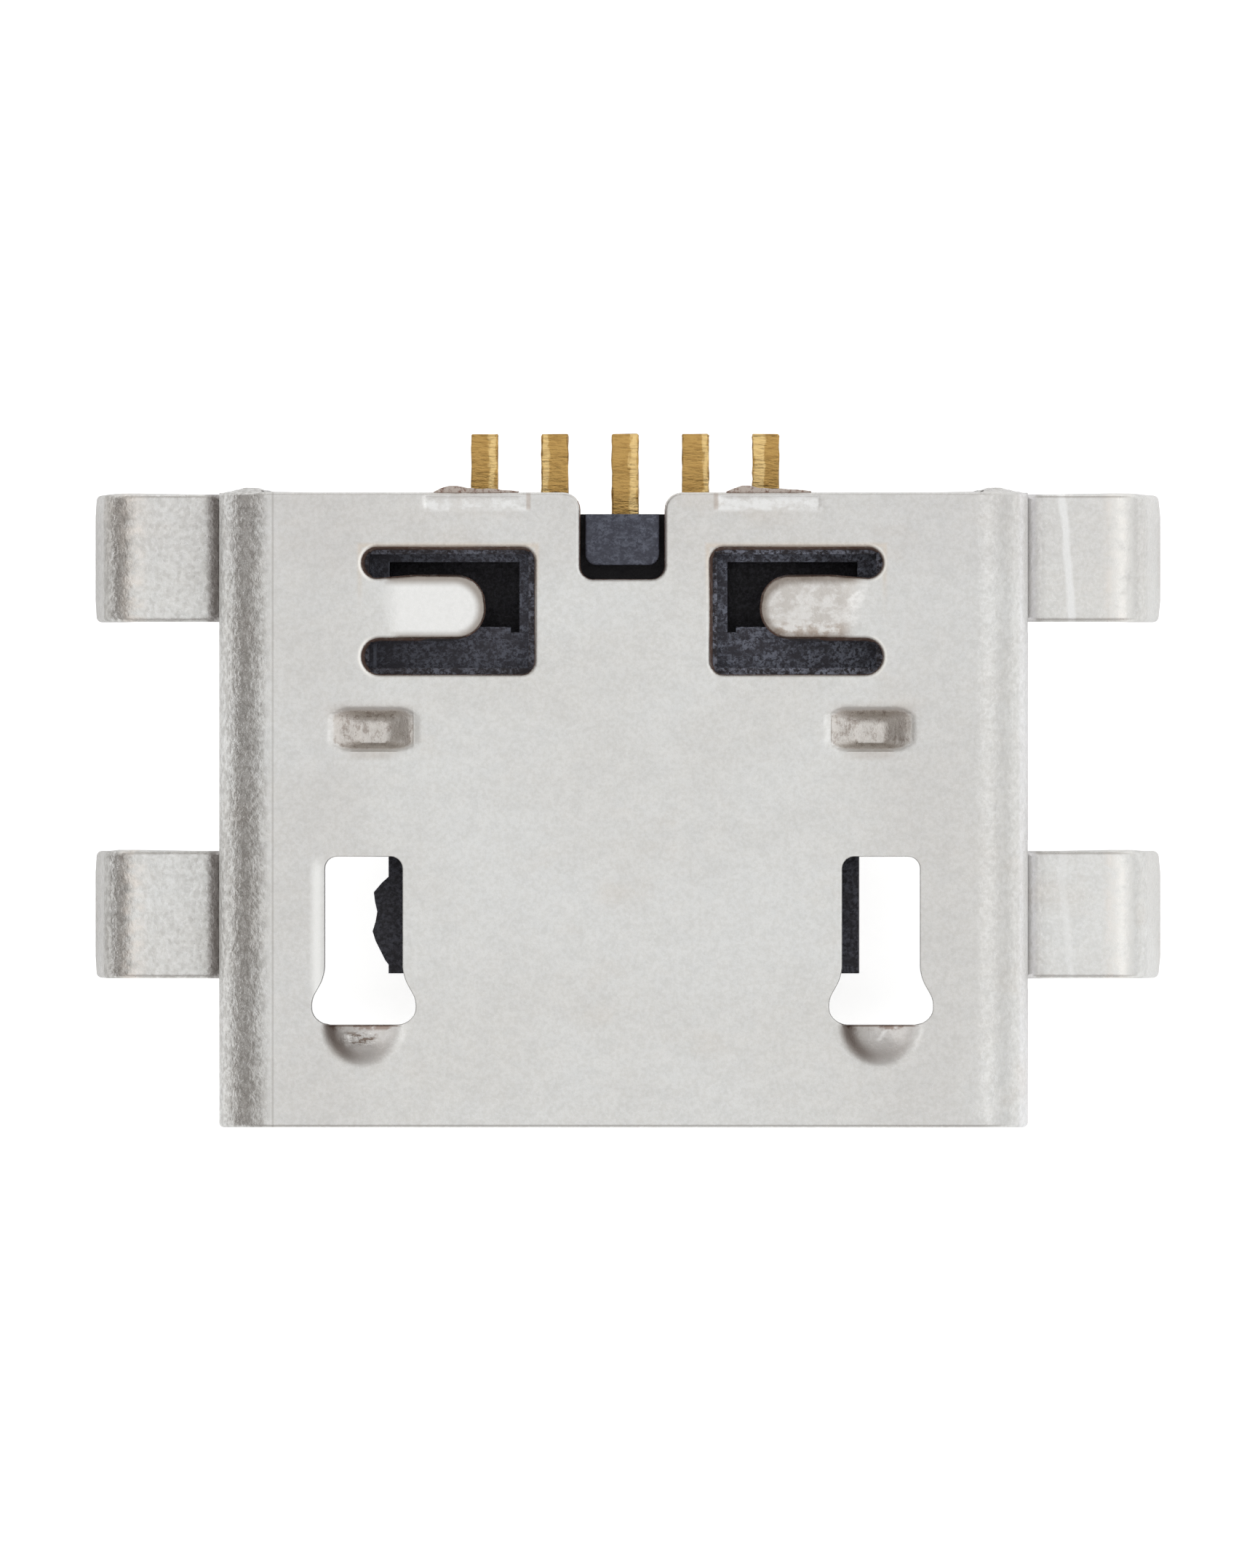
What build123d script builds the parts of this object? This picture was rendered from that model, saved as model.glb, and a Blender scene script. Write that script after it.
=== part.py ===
from build123d import *
import os

# Micro USB socket, sunk in its board: a folded shell, a moulded housing and five contacts.
# X runs across the mouth, +Y from the mouth to the rear and +Z towards the wide face.
# The origin is the middle of the mouth, and every size is in millimetres.

os.makedirs("parts", exist_ok=True)

# Opening for the plug
opening_width = 6.90
opening_height = 1.85
narrow_width = 5.40
bevel_height = 0.75

# Folded sheet
sheet = 0.28
shell_depth = 5.86
narrow_setback = 0.25
shoulder_bend = 0.22
bevel_bend = 0.25
seam_gap = 0.04
dovetail_y = 3.95
dovetail_reach = 0.50
dovetail_neck = 0.50
dovetail_head = 0.80

# Latch slots in the wide face, with a raised lip in front of each
latch_spacing = 4.77
latch_front = 0.95
latch_length = 1.55
latch_width = 0.72
latch_corner = 0.11
latch_head_width = 1.00
latch_head_middle = 0.20
latch_head_front = 0.88
latch_head_length = 0.45
latch_head_corner = 0.13
latch_neck = 0.09
lip_radius = 0.37
lip_rise = 0.13

# Pressed dimples in the wide face
dimple_spacing = 4.58
dimple_y = 3.675
dimple_width = 0.78
dimple_length = 0.37
dimple_flat_width = 0.26
dimple_flat_length = 0.22
dimple_depth = 0.14

# Retention fingers, each freed by a U-shaped cut and bent down into the housing
finger_cut_inner = 0.81
finger_cut_width = 1.59
finger_cut_front = 4.18
finger_cut_corner = 0.12
front_arm = 0.33
rear_arm = 0.28
finger_width = 0.56
finger_gap = 0.49
finger_root = 0.16
finger_slope = 0.30
finger_bend = 0.60

# Rear edge of the wide face: key notch and stubs of the carrier strip
notch_width = 0.78
notch_length = 0.80
notch_corner = 0.12
notch_mouth_corner = 0.16
stub_spacing = 2.70
stub_width = 0.74
stub_reach = 0.07

# Legs, cut out of the sides and the narrow face and bent out over the board
board_sink = 0.80
leg_width = 1.18
front_leg_y = 1.96
rear_leg_margin = 0.01
leg_hollow = 0.14
leg_knee = 0.05
leg_flat = 0.62
leg_splay = 0.09
leg_length = 1.25
leg_tip_chamfer = 0.20
leg_relief = 0.10
leg_blank_inner = 1.62
blank_corner = 0.10

# Narrow face: windows in front and the two spring arms that press on the plug
window_inner = 0.62
window_outer = 2.96
window_front = 0.88
spring_inner = 0.80
spring_width = 0.62
spring_slit = 0.12
spring_root_y = 3.35
spring_run = 0.45
spring_crest_y = 1.45
spring_tip_y = 0.98
spring_rise = 0.42
spring_tip_rise = 0.22
spring_bend = 0.50

# Housing
fit = 0.02
block_front = 3.95
block_edge = 0.08
housing_inset = 0.20
tongue_width = 4.34
tongue_tip_width = 3.70
tongue_tip_length = 0.65
tongue_tip_corner = 0.20
tongue_gap = 0.375
tongue_thickness = 0.60
tongue_setback = 0.77
tongue_chamfer = 0.12
ledge_margin = 0.06
ledge_depth = 0.32
pocket_inner = 0.96
pocket_width = 1.20
pocket_front = 4.57
pocket_length = 0.65
pocket_depth = 0.70
pocket_corner = 0.06
key_gap = 0.05
key_step = 0.13
key_drop = 0.06
key_corner = 0.10

# Contacts
contact_names = [
    "contact_power",
    "contact_data_minus",
    "contact_data_plus",
    "contact_sense",
    "contact_ground",
]
pitch = 0.65
contact_width = 0.25
contact_thickness = 0.15
contact_proud = 0.05
contact_setback = 0.30
outer_contact_lead = 0.30
contact_bend = 0.15
jog_y = 4.60
jog_length = 0.30
tail_reach = 0.57
contact_fit = 0.015

# Levels and places that follow from the sizes above
opening_top = opening_height / 2
shell_top = opening_top + sheet
shell_side = opening_width / 2 + sheet
top_middle = opening_top + sheet / 2
side_middle = opening_width / 2 + sheet / 2
board_level = board_sink - shell_top
hollow_start = board_level + sheet + leg_hollow
blank_top = hollow_start + leg_relief
latch_x = latch_spacing / 2
finger_front = finger_cut_front + front_arm
finger_y = finger_front + finger_width / 2
finger_cut_rear = finger_front + finger_width + rear_arm
finger_cut_outer = finger_cut_inner + finger_cut_width
finger_hinge = finger_cut_outer - finger_root
finger_tip = finger_cut_inner + finger_gap
finger_cut_x = (finger_cut_inner + finger_cut_outer) / 2
rear_leg_y = shell_depth - rear_leg_margin - leg_width / 2
blank_length = leg_width + 2 * leg_relief
window_rear = front_leg_y + blank_length / 2
housing_top = opening_top - fit
housing_rear = shell_depth - housing_inset
tongue_top = opening_top - tongue_gap
tongue_bottom = tongue_top - tongue_thickness
tongue_shoulder_y = tongue_setback + tongue_tip_length
contact_level = tongue_bottom - contact_proud + contact_thickness / 2
tail_level = board_level + contact_thickness / 2
contact_places = [(number - 2) * pitch for number in range(len(contact_names))]
slot_middle = (contact_level + tail_level) / 2
slot_height = abs(contact_level - tail_level) + contact_thickness + 2 * contact_fit

# Opening of the shell, seen from the mouth: wide face up, lower corners bevelled
with BuildSketch(Plane.XZ) as opening:
    with BuildLine():
        Polyline(
            (-opening_width / 2, opening_top),
            (opening_width / 2, opening_top),
            (opening_width / 2, bevel_height - opening_top),
            (narrow_width / 2, -opening_top),
            (-narrow_width / 2, -opening_top),
            (-opening_width / 2, bevel_height - opening_top),
            close=True,
        )
    make_face()
    corner_rows = opening.vertices().group_by(Axis.Y)
    fillet(corner_rows[0] + corner_rows[1], bevel_bend)
    fillet(opening.vertices().group_by(Axis.Y)[-1], shoulder_bend)

# Fingers: a strip that slopes down towards the middle of the shell, with a round tip
with BuildPart() as fingers:
    with BuildLine(Plane.XZ) as finger_line:
        FilletPolyline(
            (finger_hinge + finger_root, top_middle),
            (finger_hinge, top_middle),
            (finger_tip, top_middle - finger_slope * (finger_hinge - finger_tip)),
            radius=finger_bend,
        )
    with BuildSketch(Plane(finger_line.line @ 0, x_dir=(0, 1, 0), z_dir=finger_line.line % 0)):
        with Locations((finger_y, 0)):
            Rectangle(finger_width, sheet)
    sweep(path=finger_line.line)
    with BuildSketch(Plane.XY):
        with Locations((finger_tip + finger_width / 2, finger_y)):
            Circle(finger_width / 2)
            Rectangle(finger_cut_width, finger_width, align=(Align.MIN, Align.CENTER))
    extrude(amount=shell_top, mode=Mode.INTERSECT)
    mirror(about=Plane.YZ)

# Leg: out of the side at a tight hollow bend, flat on the board, then down through it
with BuildPart() as leg:
    with BuildLine(Plane.XZ) as leg_line:
        leg_level = board_level + sheet / 2
        knee_x = shell_side + leg_hollow + leg_flat + leg_knee + sheet / 2
        leg_drop = leg_length + sheet / 2
        FilletPolyline(
            (side_middle, blank_top + leg_relief),
            (side_middle, leg_level),
            (knee_x, leg_level),
            (knee_x + leg_splay * leg_drop, leg_level - leg_drop),
            radius=(leg_hollow + sheet / 2, leg_knee + sheet / 2),
        )
    with BuildSketch(Plane(leg_line.line @ 0, x_dir=(0, 1, 0), z_dir=leg_line.line % 0)):
        Rectangle(leg_width, sheet)
    sweep(path=leg_line.line)
    tip_sides = leg.faces().sort_by(Axis.Z)[0].edges().sort_by(SortBy.LENGTH)[:2]
    chamfer(tip_sides, leg_tip_chamfer)
with BuildPart() as legs:
    with Locations((0, front_leg_y, 0), (0, rear_leg_y, 0)):
        add(leg.part)
    mirror(about=Plane.YZ)

# Spring arms: long strips of the narrow face, bowed up into the way of the plug
with BuildPart() as springs:
    with BuildLine(Plane.YZ) as spring_line:
        FilletPolyline(
            (spring_root_y + spring_slit, -top_middle),
            (spring_root_y - spring_run, -top_middle),
            (spring_crest_y, spring_rise - top_middle),
            (spring_tip_y, spring_tip_rise - top_middle),
            radius=spring_bend,
        )
    with BuildSketch(Plane(spring_line.line @ 0, x_dir=(1, 0, 0), z_dir=spring_line.line % 0)):
        with Locations((spring_inner + spring_width / 2, 0)):
            Rectangle(spring_width, sheet)
    sweep(path=spring_line.line)
    mirror(about=Plane.YZ)

# Lips: half of a low dome, cut off where the latch slot starts
lip_ball = (lip_radius**2 + lip_rise**2) / (2 * lip_rise)
lip_centre = (latch_x, latch_front, shell_top + lip_rise - lip_ball)
with BuildPart() as lips:
    with Locations(lip_centre):
        Sphere(lip_ball)
    split(bisect_by=Plane.XY.offset(opening_top))
    split(bisect_by=Plane.XZ.offset(-latch_front))
    mirror(about=Plane.YZ)
with BuildPart() as lip_hollows:
    with Locations(lip_centre):
        Sphere(lip_ball)
    split(bisect_by=Plane.XY.offset(shell_top - lip_rise))
    mirror(about=Plane.YZ)

# Dimples: steep pressed walls down to a small flat square
with BuildPart() as dimples:
    with BuildSketch(Plane.XY.offset(shell_top)):
        with Locations((dimple_spacing / 2, dimple_y)):
            Rectangle(dimple_width, dimple_length)
    with BuildSketch(Plane.XY.offset(shell_top - dimple_depth)):
        with Locations((dimple_spacing / 2, dimple_y)):
            Rectangle(dimple_flat_width, dimple_flat_length)
    loft()
    mirror(about=Plane.YZ)

# Shell: sheet wrapped round the opening, pierced and pressed, with its bent strips
with BuildPart() as shell:
    with BuildSketch(Plane.XZ):
        add(opening.sketch_local)
        offset(amount=sheet)
        add(opening.sketch_local, mode=Mode.SUBTRACT)
    extrude(amount=-shell_depth)

    with BuildSketch(Plane.XY.offset(shell_top)) as notch:
        with Locations((0, shell_depth)):
            Rectangle(notch_width, notch_length, align=(Align.CENTER, Align.MAX))
            Rectangle(2 * notch_width, stub_reach, align=(Align.CENTER, Align.MIN))
        notch_rows = notch.vertices().group_by(Axis.Y)
        fillet(notch_rows[0], notch_corner)
        fillet(notch_rows[1].sort_by(Axis.X)[1:-1], notch_mouth_corner)
    extrude(amount=-shell_top, mode=Mode.SUBTRACT)
    with BuildSketch(Plane.XY.offset(opening_top)):
        with Locations((-stub_spacing / 2, shell_depth), (stub_spacing / 2, shell_depth)):
            Rectangle(stub_width, 2 * stub_reach)
    extrude(amount=sheet)

    add(lips.part)
    with Locations((0, 0, -sheet)):
        add(lip_hollows.part, mode=Mode.SUBTRACT)
    with BuildSketch(Plane.XY.offset(shell_top)) as latch_slots:
        with BuildLine(Plane.XY.shift_origin((latch_x, latch_front))):
            Polyline(
                (0, 0),
                (latch_head_front / 2, 0),
                (latch_head_width / 2, latch_head_middle),
                (latch_width / 2, latch_head_length),
                (latch_width / 2, latch_length),
                (0, latch_length),
            )
            mirror(about=Plane.YZ.offset(latch_x))
        make_face()
        latch_rows = latch_slots.vertices().group_by(Axis.Y)
        fillet(latch_rows[0], latch_head_corner)
        fillet(latch_rows[1] + latch_rows[2], latch_neck)
        fillet(latch_rows[3], latch_corner)
        mirror(about=Plane.YZ)
    extrude(amount=lip_rise, mode=Mode.SUBTRACT)
    extrude(latch_slots.sketch, amount=-shell_top, mode=Mode.SUBTRACT)

    with Locations((0, 0, -sheet)):
        add(dimples.part)
    add(dimples.part, mode=Mode.SUBTRACT)

    with BuildSketch(Plane.XY.offset(shell_top)) as finger_cuts:
        with Locations((finger_cut_inner, finger_cut_front)):
            Rectangle(
                finger_hinge - finger_cut_inner,
                finger_cut_rear - finger_cut_front,
                align=(Align.MIN, Align.MIN),
            )
        fillet(finger_cuts.vertices().group_by(Axis.X)[0], finger_cut_corner)
        with Locations((finger_cut_x, finger_front - front_arm / 2)):
            SlotOverall(finger_cut_width, front_arm)
        with Locations((finger_cut_x, finger_cut_rear - rear_arm / 2)):
            SlotOverall(finger_cut_width, rear_arm)
        mirror(about=Plane.YZ)
    extrude(amount=-shell_top, mode=Mode.SUBTRACT)
    add(fingers.part)

    # Windows that the legs and the spring arms leave in the narrow face, bevels and sides
    with BuildSketch(Plane.XY.offset(-shell_top)) as blanks:
        with Locations((leg_blank_inner, front_leg_y)):
            Rectangle(shell_side, blank_length, align=(Align.MIN, Align.CENTER))
        with Locations((leg_blank_inner, rear_leg_y - blank_length / 2)):
            Rectangle(shell_side, shell_depth, align=(Align.MIN, Align.MIN))
        fillet(blanks.vertices().group_by(Axis.X)[0], blank_corner)
        mirror(about=Plane.YZ)
        with Locations((0, shell_depth - narrow_setback)):
            Rectangle(2 * shell_side, shell_depth, align=(Align.CENTER, Align.MIN))
    extrude(amount=shell_top + blank_top, mode=Mode.SUBTRACT)
    with BuildSketch(Plane.XY.offset(-shell_top)) as windows:
        with Locations((window_inner, window_front)):
            Rectangle(
                window_outer - window_inner,
                window_rear - window_front,
                align=(Align.MIN, Align.MIN),
            )
        with Locations((spring_inner - spring_slit, window_front)):
            Rectangle(
                spring_width + 2 * spring_slit,
                spring_root_y - window_front,
                align=(Align.MIN, Align.MIN),
            )
        fillet(windows.vertices().group_by(Axis.Y)[0], blank_corner)
        fillet(windows.vertices().group_by(Axis.Y)[-1], blank_corner)
        mirror(about=Plane.YZ)
    extrude(amount=sheet + bevel_height, mode=Mode.SUBTRACT)
    add(springs.part)
    add(legs.part)

    # Seam on the middle of the narrow face, locked by a dovetail
    with BuildSketch(Plane.XY.offset(-shell_top)):
        with BuildLine():
            Polyline(
                (0, -sheet),
                (0, dovetail_y - dovetail_neck / 2),
                (dovetail_reach, dovetail_y - dovetail_head / 2),
                (dovetail_reach, dovetail_y + dovetail_head / 2),
                (0, dovetail_y + dovetail_neck / 2),
                (0, shell_depth + sheet),
            )
        trace(line_width=seam_gap)
    extrude(amount=2 * sheet, mode=Mode.SUBTRACT)
shell.part.label = "shell"
export_step(shell.part, "parts/shell.step")


def contact_strip(place, clearance):
    """Strip of one contact, or its channel in the housing where clearance is given."""
    outermost = place in (contact_places[0], contact_places[-1])
    front = tongue_setback + contact_setback + (0 if outermost else outer_contact_lead)
    with BuildPart() as strip:
        with BuildLine(Plane.YZ) as strip_line:
            FilletPolyline(
                (front - clearance, contact_level),
                (jog_y, contact_level),
                (jog_y + jog_length, tail_level),
                (shell_depth + tail_reach, tail_level),
                radius=contact_bend + contact_thickness / 2,
            )
        with BuildSketch(Plane(strip_line.line @ 0, x_dir=(1, 0, 0), z_dir=strip_line.line % 0)):
            with Locations((place, 0)):
                Rectangle(contact_width + 2 * clearance, contact_thickness + 2 * clearance)
        sweep(path=strip_line.line)
    return strip.part


# Housing: rear block with its key, ledges and pockets, and the tongue with its channels
with BuildPart() as housing:
    with BuildSketch(Plane.XZ.offset(-block_front)):
        add(opening.sketch_local)
        offset(amount=-fit)
    extrude(amount=block_front - housing_rear)
    chamfer(housing.faces().sort_by(Axis.Y)[0].edges(), block_edge)
    with BuildSketch(Plane.XY.offset(tongue_bottom)) as tongue:
        with Locations((0, tongue_setback)):
            Rectangle(tongue_tip_width, tongue_tip_length, align=(Align.CENTER, Align.MIN))
        with Locations((0, tongue_shoulder_y)):
            Rectangle(
                tongue_width,
                block_front + block_edge - tongue_shoulder_y,
                align=(Align.CENTER, Align.MIN),
            )
        fillet(tongue.vertices().group_by(Axis.Y)[0], tongue_tip_corner)
    extrude(amount=tongue_thickness)
    tip_edges = housing.faces().sort_by(Axis.Y)[0].edges().filter_by(Axis.X)
    chamfer(tip_edges, tongue_chamfer)

    with BuildSketch(Plane.XY.offset(housing_top)):
        with Locations((finger_cut_x, (finger_cut_front + finger_cut_rear) / 2)):
            Rectangle(
                finger_cut_width - 2 * ledge_margin,
                finger_cut_rear - finger_cut_front - 2 * ledge_margin,
            )
        mirror(about=Plane.YZ)
    extrude(amount=-ledge_depth, mode=Mode.SUBTRACT)
    with BuildSketch(Plane.XY.offset(housing_top)):
        with Locations((pocket_inner + pocket_width / 2, pocket_front + pocket_length / 2)):
            RectangleRounded(pocket_width, pocket_length, pocket_corner)
        mirror(about=Plane.YZ)
    extrude(amount=-pocket_depth, mode=Mode.SUBTRACT)

    with BuildSketch(Plane.XY.offset(housing_top)) as key:
        with Locations((0, housing_rear)):
            Rectangle(
                notch_width - 2 * key_gap,
                notch_length - key_step - housing_inset,
                align=(Align.CENTER, Align.MAX),
            )
        fillet(key.vertices().group_by(Axis.Y)[0], key_corner)
    extrude(amount=fit + sheet - key_drop)
    for place in contact_places:
        add(contact_strip(place, contact_fit), mode=Mode.SUBTRACT)
    # Slots from the rear, as high as the step of the contacts that are pushed in there
    with BuildSketch(Plane.XZ.offset(-housing_rear)):
        with Locations(*[(place, slot_middle) for place in contact_places]):
            Rectangle(contact_width + 2 * contact_fit, slot_height)
    extrude(amount=housing_rear - jog_y, mode=Mode.SUBTRACT)
housing.part.label = "housing"
export_step(housing.part, "parts/housing.step")

for name, place in zip(contact_names, contact_places):
    contact = contact_strip(place, 0)
    contact.label = name
    export_step(contact, f"parts/{name}.step")
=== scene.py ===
import math
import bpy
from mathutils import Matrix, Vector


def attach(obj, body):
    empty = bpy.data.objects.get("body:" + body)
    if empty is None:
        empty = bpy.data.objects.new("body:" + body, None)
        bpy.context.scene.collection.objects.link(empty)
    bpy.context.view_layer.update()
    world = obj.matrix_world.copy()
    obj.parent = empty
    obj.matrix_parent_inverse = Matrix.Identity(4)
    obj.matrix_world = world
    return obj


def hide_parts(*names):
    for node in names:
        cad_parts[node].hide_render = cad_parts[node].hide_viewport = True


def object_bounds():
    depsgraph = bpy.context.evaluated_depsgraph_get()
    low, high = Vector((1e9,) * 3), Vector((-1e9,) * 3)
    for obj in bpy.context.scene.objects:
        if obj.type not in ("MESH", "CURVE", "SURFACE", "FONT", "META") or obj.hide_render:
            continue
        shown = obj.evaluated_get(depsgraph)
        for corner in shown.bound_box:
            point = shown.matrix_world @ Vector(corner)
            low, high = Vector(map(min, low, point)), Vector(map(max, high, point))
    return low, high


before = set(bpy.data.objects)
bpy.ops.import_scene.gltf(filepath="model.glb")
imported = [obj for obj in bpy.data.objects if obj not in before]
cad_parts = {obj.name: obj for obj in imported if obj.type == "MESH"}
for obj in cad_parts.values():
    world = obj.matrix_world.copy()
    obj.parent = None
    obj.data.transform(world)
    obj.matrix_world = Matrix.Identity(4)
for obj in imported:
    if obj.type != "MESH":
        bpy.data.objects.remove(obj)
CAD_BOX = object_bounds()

from types import SimpleNamespace

import bmesh
import bpy
from bpy.props import FloatProperty, FloatVectorProperty, PointerProperty
from bpy.types import Operator, Panel, PropertyGroup
from mathutils import Vector

bl_info = {
    "name": "Micro USB Socket",
    "version": (1, 0, 0),
    "blender": (4, 5, 0),
    "location": "View3D > Sidebar > Micro USB",
    "description": "Models a sunk micro USB socket with its folded shell, housing and contacts",
    "category": "Add Mesh",
}

MM = 0.001
BODY = "root"

# Distances on the bench, in millimetres, under which two places count as the same.
NEAR = 1e-3
CLOSE = 1e-4
TOUCHING = 1e-5
WIDE_FACE = 0.7  # height above which a shell has nothing but its wide face

SMOOTH_UNDER = math.radians(35)  # flatter edges than this are shaded smooth
SENSOR = 24.0  # long side of the camera's sensor, in millimetres
FLOOR = 4.0  # side of the floor, in metres


def length(label, millimetres, says):
    """A length that can be changed, shown by Blender in its own unit."""
    return FloatProperty(
        name=label, description=says, default=millimetres * MM, unit="LENGTH", precision=5
    )


def share(label, value, says, top=1.0):
    """A plain number between nought and top."""
    return FloatProperty(name=label, description=says, default=value, min=0.0, max=top)


def angle(label, degrees, says):
    """An angle, given in degrees."""
    return FloatProperty(
        name=label, description=says, default=math.radians(degrees), subtype="ANGLE"
    )


def tone(label, red, green, blue, says):
    """A colour, in linear values."""
    return FloatVectorProperty(
        name=label,
        description=says,
        default=(red, green, blue),
        size=3,
        min=0.0,
        max=1.0,
        subtype="COLOR",
    )


class ShellSizes(PropertyGroup):
    """Sizes of the folded shell."""

    opening_width: length("Opening width", 6.90, "Inside width of the mouth")
    opening_height: length("Opening height", 1.85, "Inside height of the mouth")
    bevel: length("Bevel", 0.75, "How far each lower corner is bevelled, across and up")
    sheet: length("Sheet", 0.28, "Thickness of the sheet")
    depth: length("Depth", 5.86, "From the mouth to the rear edge")
    narrow_setback: length("Narrow setback", 0.25, "How far the narrow face stops short")
    shoulder_bend: length("Shoulder bend", 0.22, "Inside radius beside the wide face")
    bevel_bend: length("Bevel bend", 0.25, "Inside radius at the bevels")
    bend_creep: length("Bend creep", 0.045, "How far the bends swell past the edges")
    edge_roll: length("Edge roll", 0.036, "Rounding that the punch leaves on the outer edges")
    edge_break: length("Edge break", 0.012, "Rounding of the latch slots' edges")
    latch_spacing: length("Latch spacing", 4.77, "Between the middles of the latch slots")
    latch_front: length("Latch front", 0.95, "From the mouth to a latch slot")
    latch_length: length("Latch length", 1.55, "Length of a latch slot")
    latch_width: length("Latch width", 0.72, "Width of a latch slot's stem")
    latch_corner: length("Latch corner", 0.11, "Rear corners of a latch slot")
    latch_neck: length("Latch neck", 0.09, "Bends between stem and head")
    head_width: length("Head width", 1.00, "Width of a latch slot's head")
    head_length: length("Head length", 0.45, "Length of a latch slot's head")
    head_middle: length("Head middle", 0.20, "From a slot's front edge to its widest place")
    head_front: length("Head front", 0.88, "Width of a slot's front edge")
    head_corner: length("Head corner", 0.13, "Front corners of a slot's head")
    lip_radius: length("Lip radius", 0.37, "Half the width of a lip")
    lip_rise: length("Lip rise", 0.13, "How far a lip stands up at the slot")
    dimple_spacing: length("Dimple spacing", 4.58, "Between the middles of the dimples")
    dimple_y: length("Dimple place", 3.675, "From the mouth to the dimples")
    dimple_width: length("Dimple width", 0.78, "Across")
    dimple_length: length("Dimple length", 0.37, "Along")
    dimple_flat: length("Dimple flat", 0.24, "Side of the flat square in a dimple")
    press_grid: length("Press grid", 0.035, "Fineness of the sheet where it is pressed")
    dimple_depth: length("Dimple depth", 0.14, "How deep a dimple is pressed")
    cut_inner: length("Cut start", 0.81, "From the middle to a finger cut")
    cut_width: length("Cut width", 1.59, "Width of a finger cut")
    cut_front: length("Cut front", 4.18, "From the mouth to a finger cut")
    cut_corner: length("Cut corner", 0.12, "Corners of a finger cut")
    cut_taper: length("Cut taper", 0.02, "How far a cut wall leans out under the sheet")
    front_arm: length("Front arm", 0.33, "Width of a cut's front arm")
    rear_arm: length("Rear arm", 0.28, "Width of a cut's rear arm")
    finger_width: length("Finger width", 0.56, "Width of a retention finger")
    finger_gap: length("Finger gap", 0.49, "Between a finger's tip and the end of its cut")
    finger_root: length("Finger root", 0.16, "Flat stretch before a finger bends")
    finger_swell: length("Finger swell", 0.03, "How much a finger widens towards its tip")
    finger_bend: angle("Finger bend", 16.7, "How far a finger is bent down")
    finger_curve: length("Finger curve", 0.60, "Radius of that bend")
    notch_width: length("Notch width", 0.78, "Width of the key notch")
    notch_length: length("Notch length", 0.80, "Length of the key notch")
    notch_corner: length("Notch corner", 0.12, "Front corners of the key notch")
    notch_mouth: length("Notch mouth", 0.16, "Corners where the notch meets the rear edge")
    stub_spacing: length("Stub spacing", 2.70, "Between the stubs of the carrier strip")
    stub_width: length("Stub width", 0.78, "Width of a stub")
    stub_reach: length("Stub reach", 0.06, "How far a stub stands out")
    coin_width: length("Coin width", 1.00, "Width of the coined mark before a stub")
    coin_length: length("Coin length", 0.15, "Length of a coined mark")
    coin_depth: length("Coin depth", 0.02, "Depth of a coined mark")
    board_sink: length("Sink", 0.80, "From the board's top to the narrow face")
    leg_width: length("Leg width", 1.18, "Width of a leg")
    front_leg_y: length("Front legs", 1.96, "From the mouth to the front legs")
    rear_leg_margin: length("Rear leg margin", 0.01, "From a rear leg to the rear edge")
    leg_hollow: length("Leg hollow", 0.14, "Inside radius where a leg leaves the side")
    leg_knee: length("Leg knee", 0.05, "Inside radius where a leg turns down")
    leg_flat: length("Leg flat", 0.62, "Flat stretch of a leg")
    leg_splay: angle("Leg splay", 5.14, "How far a leg leans out")
    leg_length: length("Leg length", 1.25, "How far a leg reaches below the board's top")
    leg_tip: length("Leg tip", 0.20, "Chamfer of a leg's tip")
    leg_roll: length("Leg roll", 0.048, "Rounding of a leg's outer edges")
    leg_relief: length("Leg relief", 0.10, "Gap beside a leg's root")
    blank_inner: length("Blank start", 1.62, "From the middle to the legs' openings")
    blank_corner: length("Blank corner", 0.10, "Corners of the openings")
    window_inner: length("Window start", 0.62, "From the middle to a window")
    window_outer: length("Window end", 2.96, "From the middle to a window's far side")
    window_front: length("Window front", 0.88, "From the mouth to a window")
    spring_inner: length("Spring start", 0.80, "From the middle to a spring arm")
    spring_width: length("Spring width", 0.62, "Width of a spring arm")
    spring_slit: length("Spring slit", 0.12, "Slit beside a spring arm")
    spring_root: length("Spring root", 3.35, "From the mouth to a spring arm's root")
    spring_run: length("Spring run", 0.45, "Flat stretch before a spring arm bends")
    spring_crest: length("Spring crest", 1.45, "From the mouth to a spring arm's crest")
    spring_curve: length("Spring curve", 0.50, "Radius of a spring arm's bends")
    spring_rise: angle("Spring rise", 16.2, "How far a spring arm leans into the mouth")
    spring_dip: angle("Spring dip", 39.2, "How far a spring arm's tip turns back")
    seam_gap: length("Seam gap", 0.04, "Gap of the seam")
    dovetail_y: length("Dovetail place", 3.95, "From the mouth to the dovetail")
    dovetail_reach: length("Dovetail reach", 0.50, "Across")
    dovetail_neck: length("Dovetail neck", 0.50, "Narrow end")
    dovetail_head: length("Dovetail head", 0.80, "Wide end")


def bench(group):
    """The sizes of a group in millimetres, which is the unit on the bench."""
    sizes = {}
    for name, prop in group.bl_rna.properties.items():
        if prop.type == "FLOAT" and not prop.is_array:
            value = getattr(group, name)
            sizes[name] = value / MM if prop.unit == "LENGTH" else value
    return SimpleNamespace(**sizes)


def put_down():
    """Leave edit mode and deselect everything."""
    if bpy.context.object and bpy.context.object.mode != "OBJECT":
        bpy.ops.object.mode_set(mode="OBJECT")
    bpy.ops.object.select_all(action="DESELECT")


def take(piece):
    """Make one piece the only selected and the active one."""
    put_down()
    piece.select_set(True)
    bpy.context.view_layer.objects.active = piece


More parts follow.
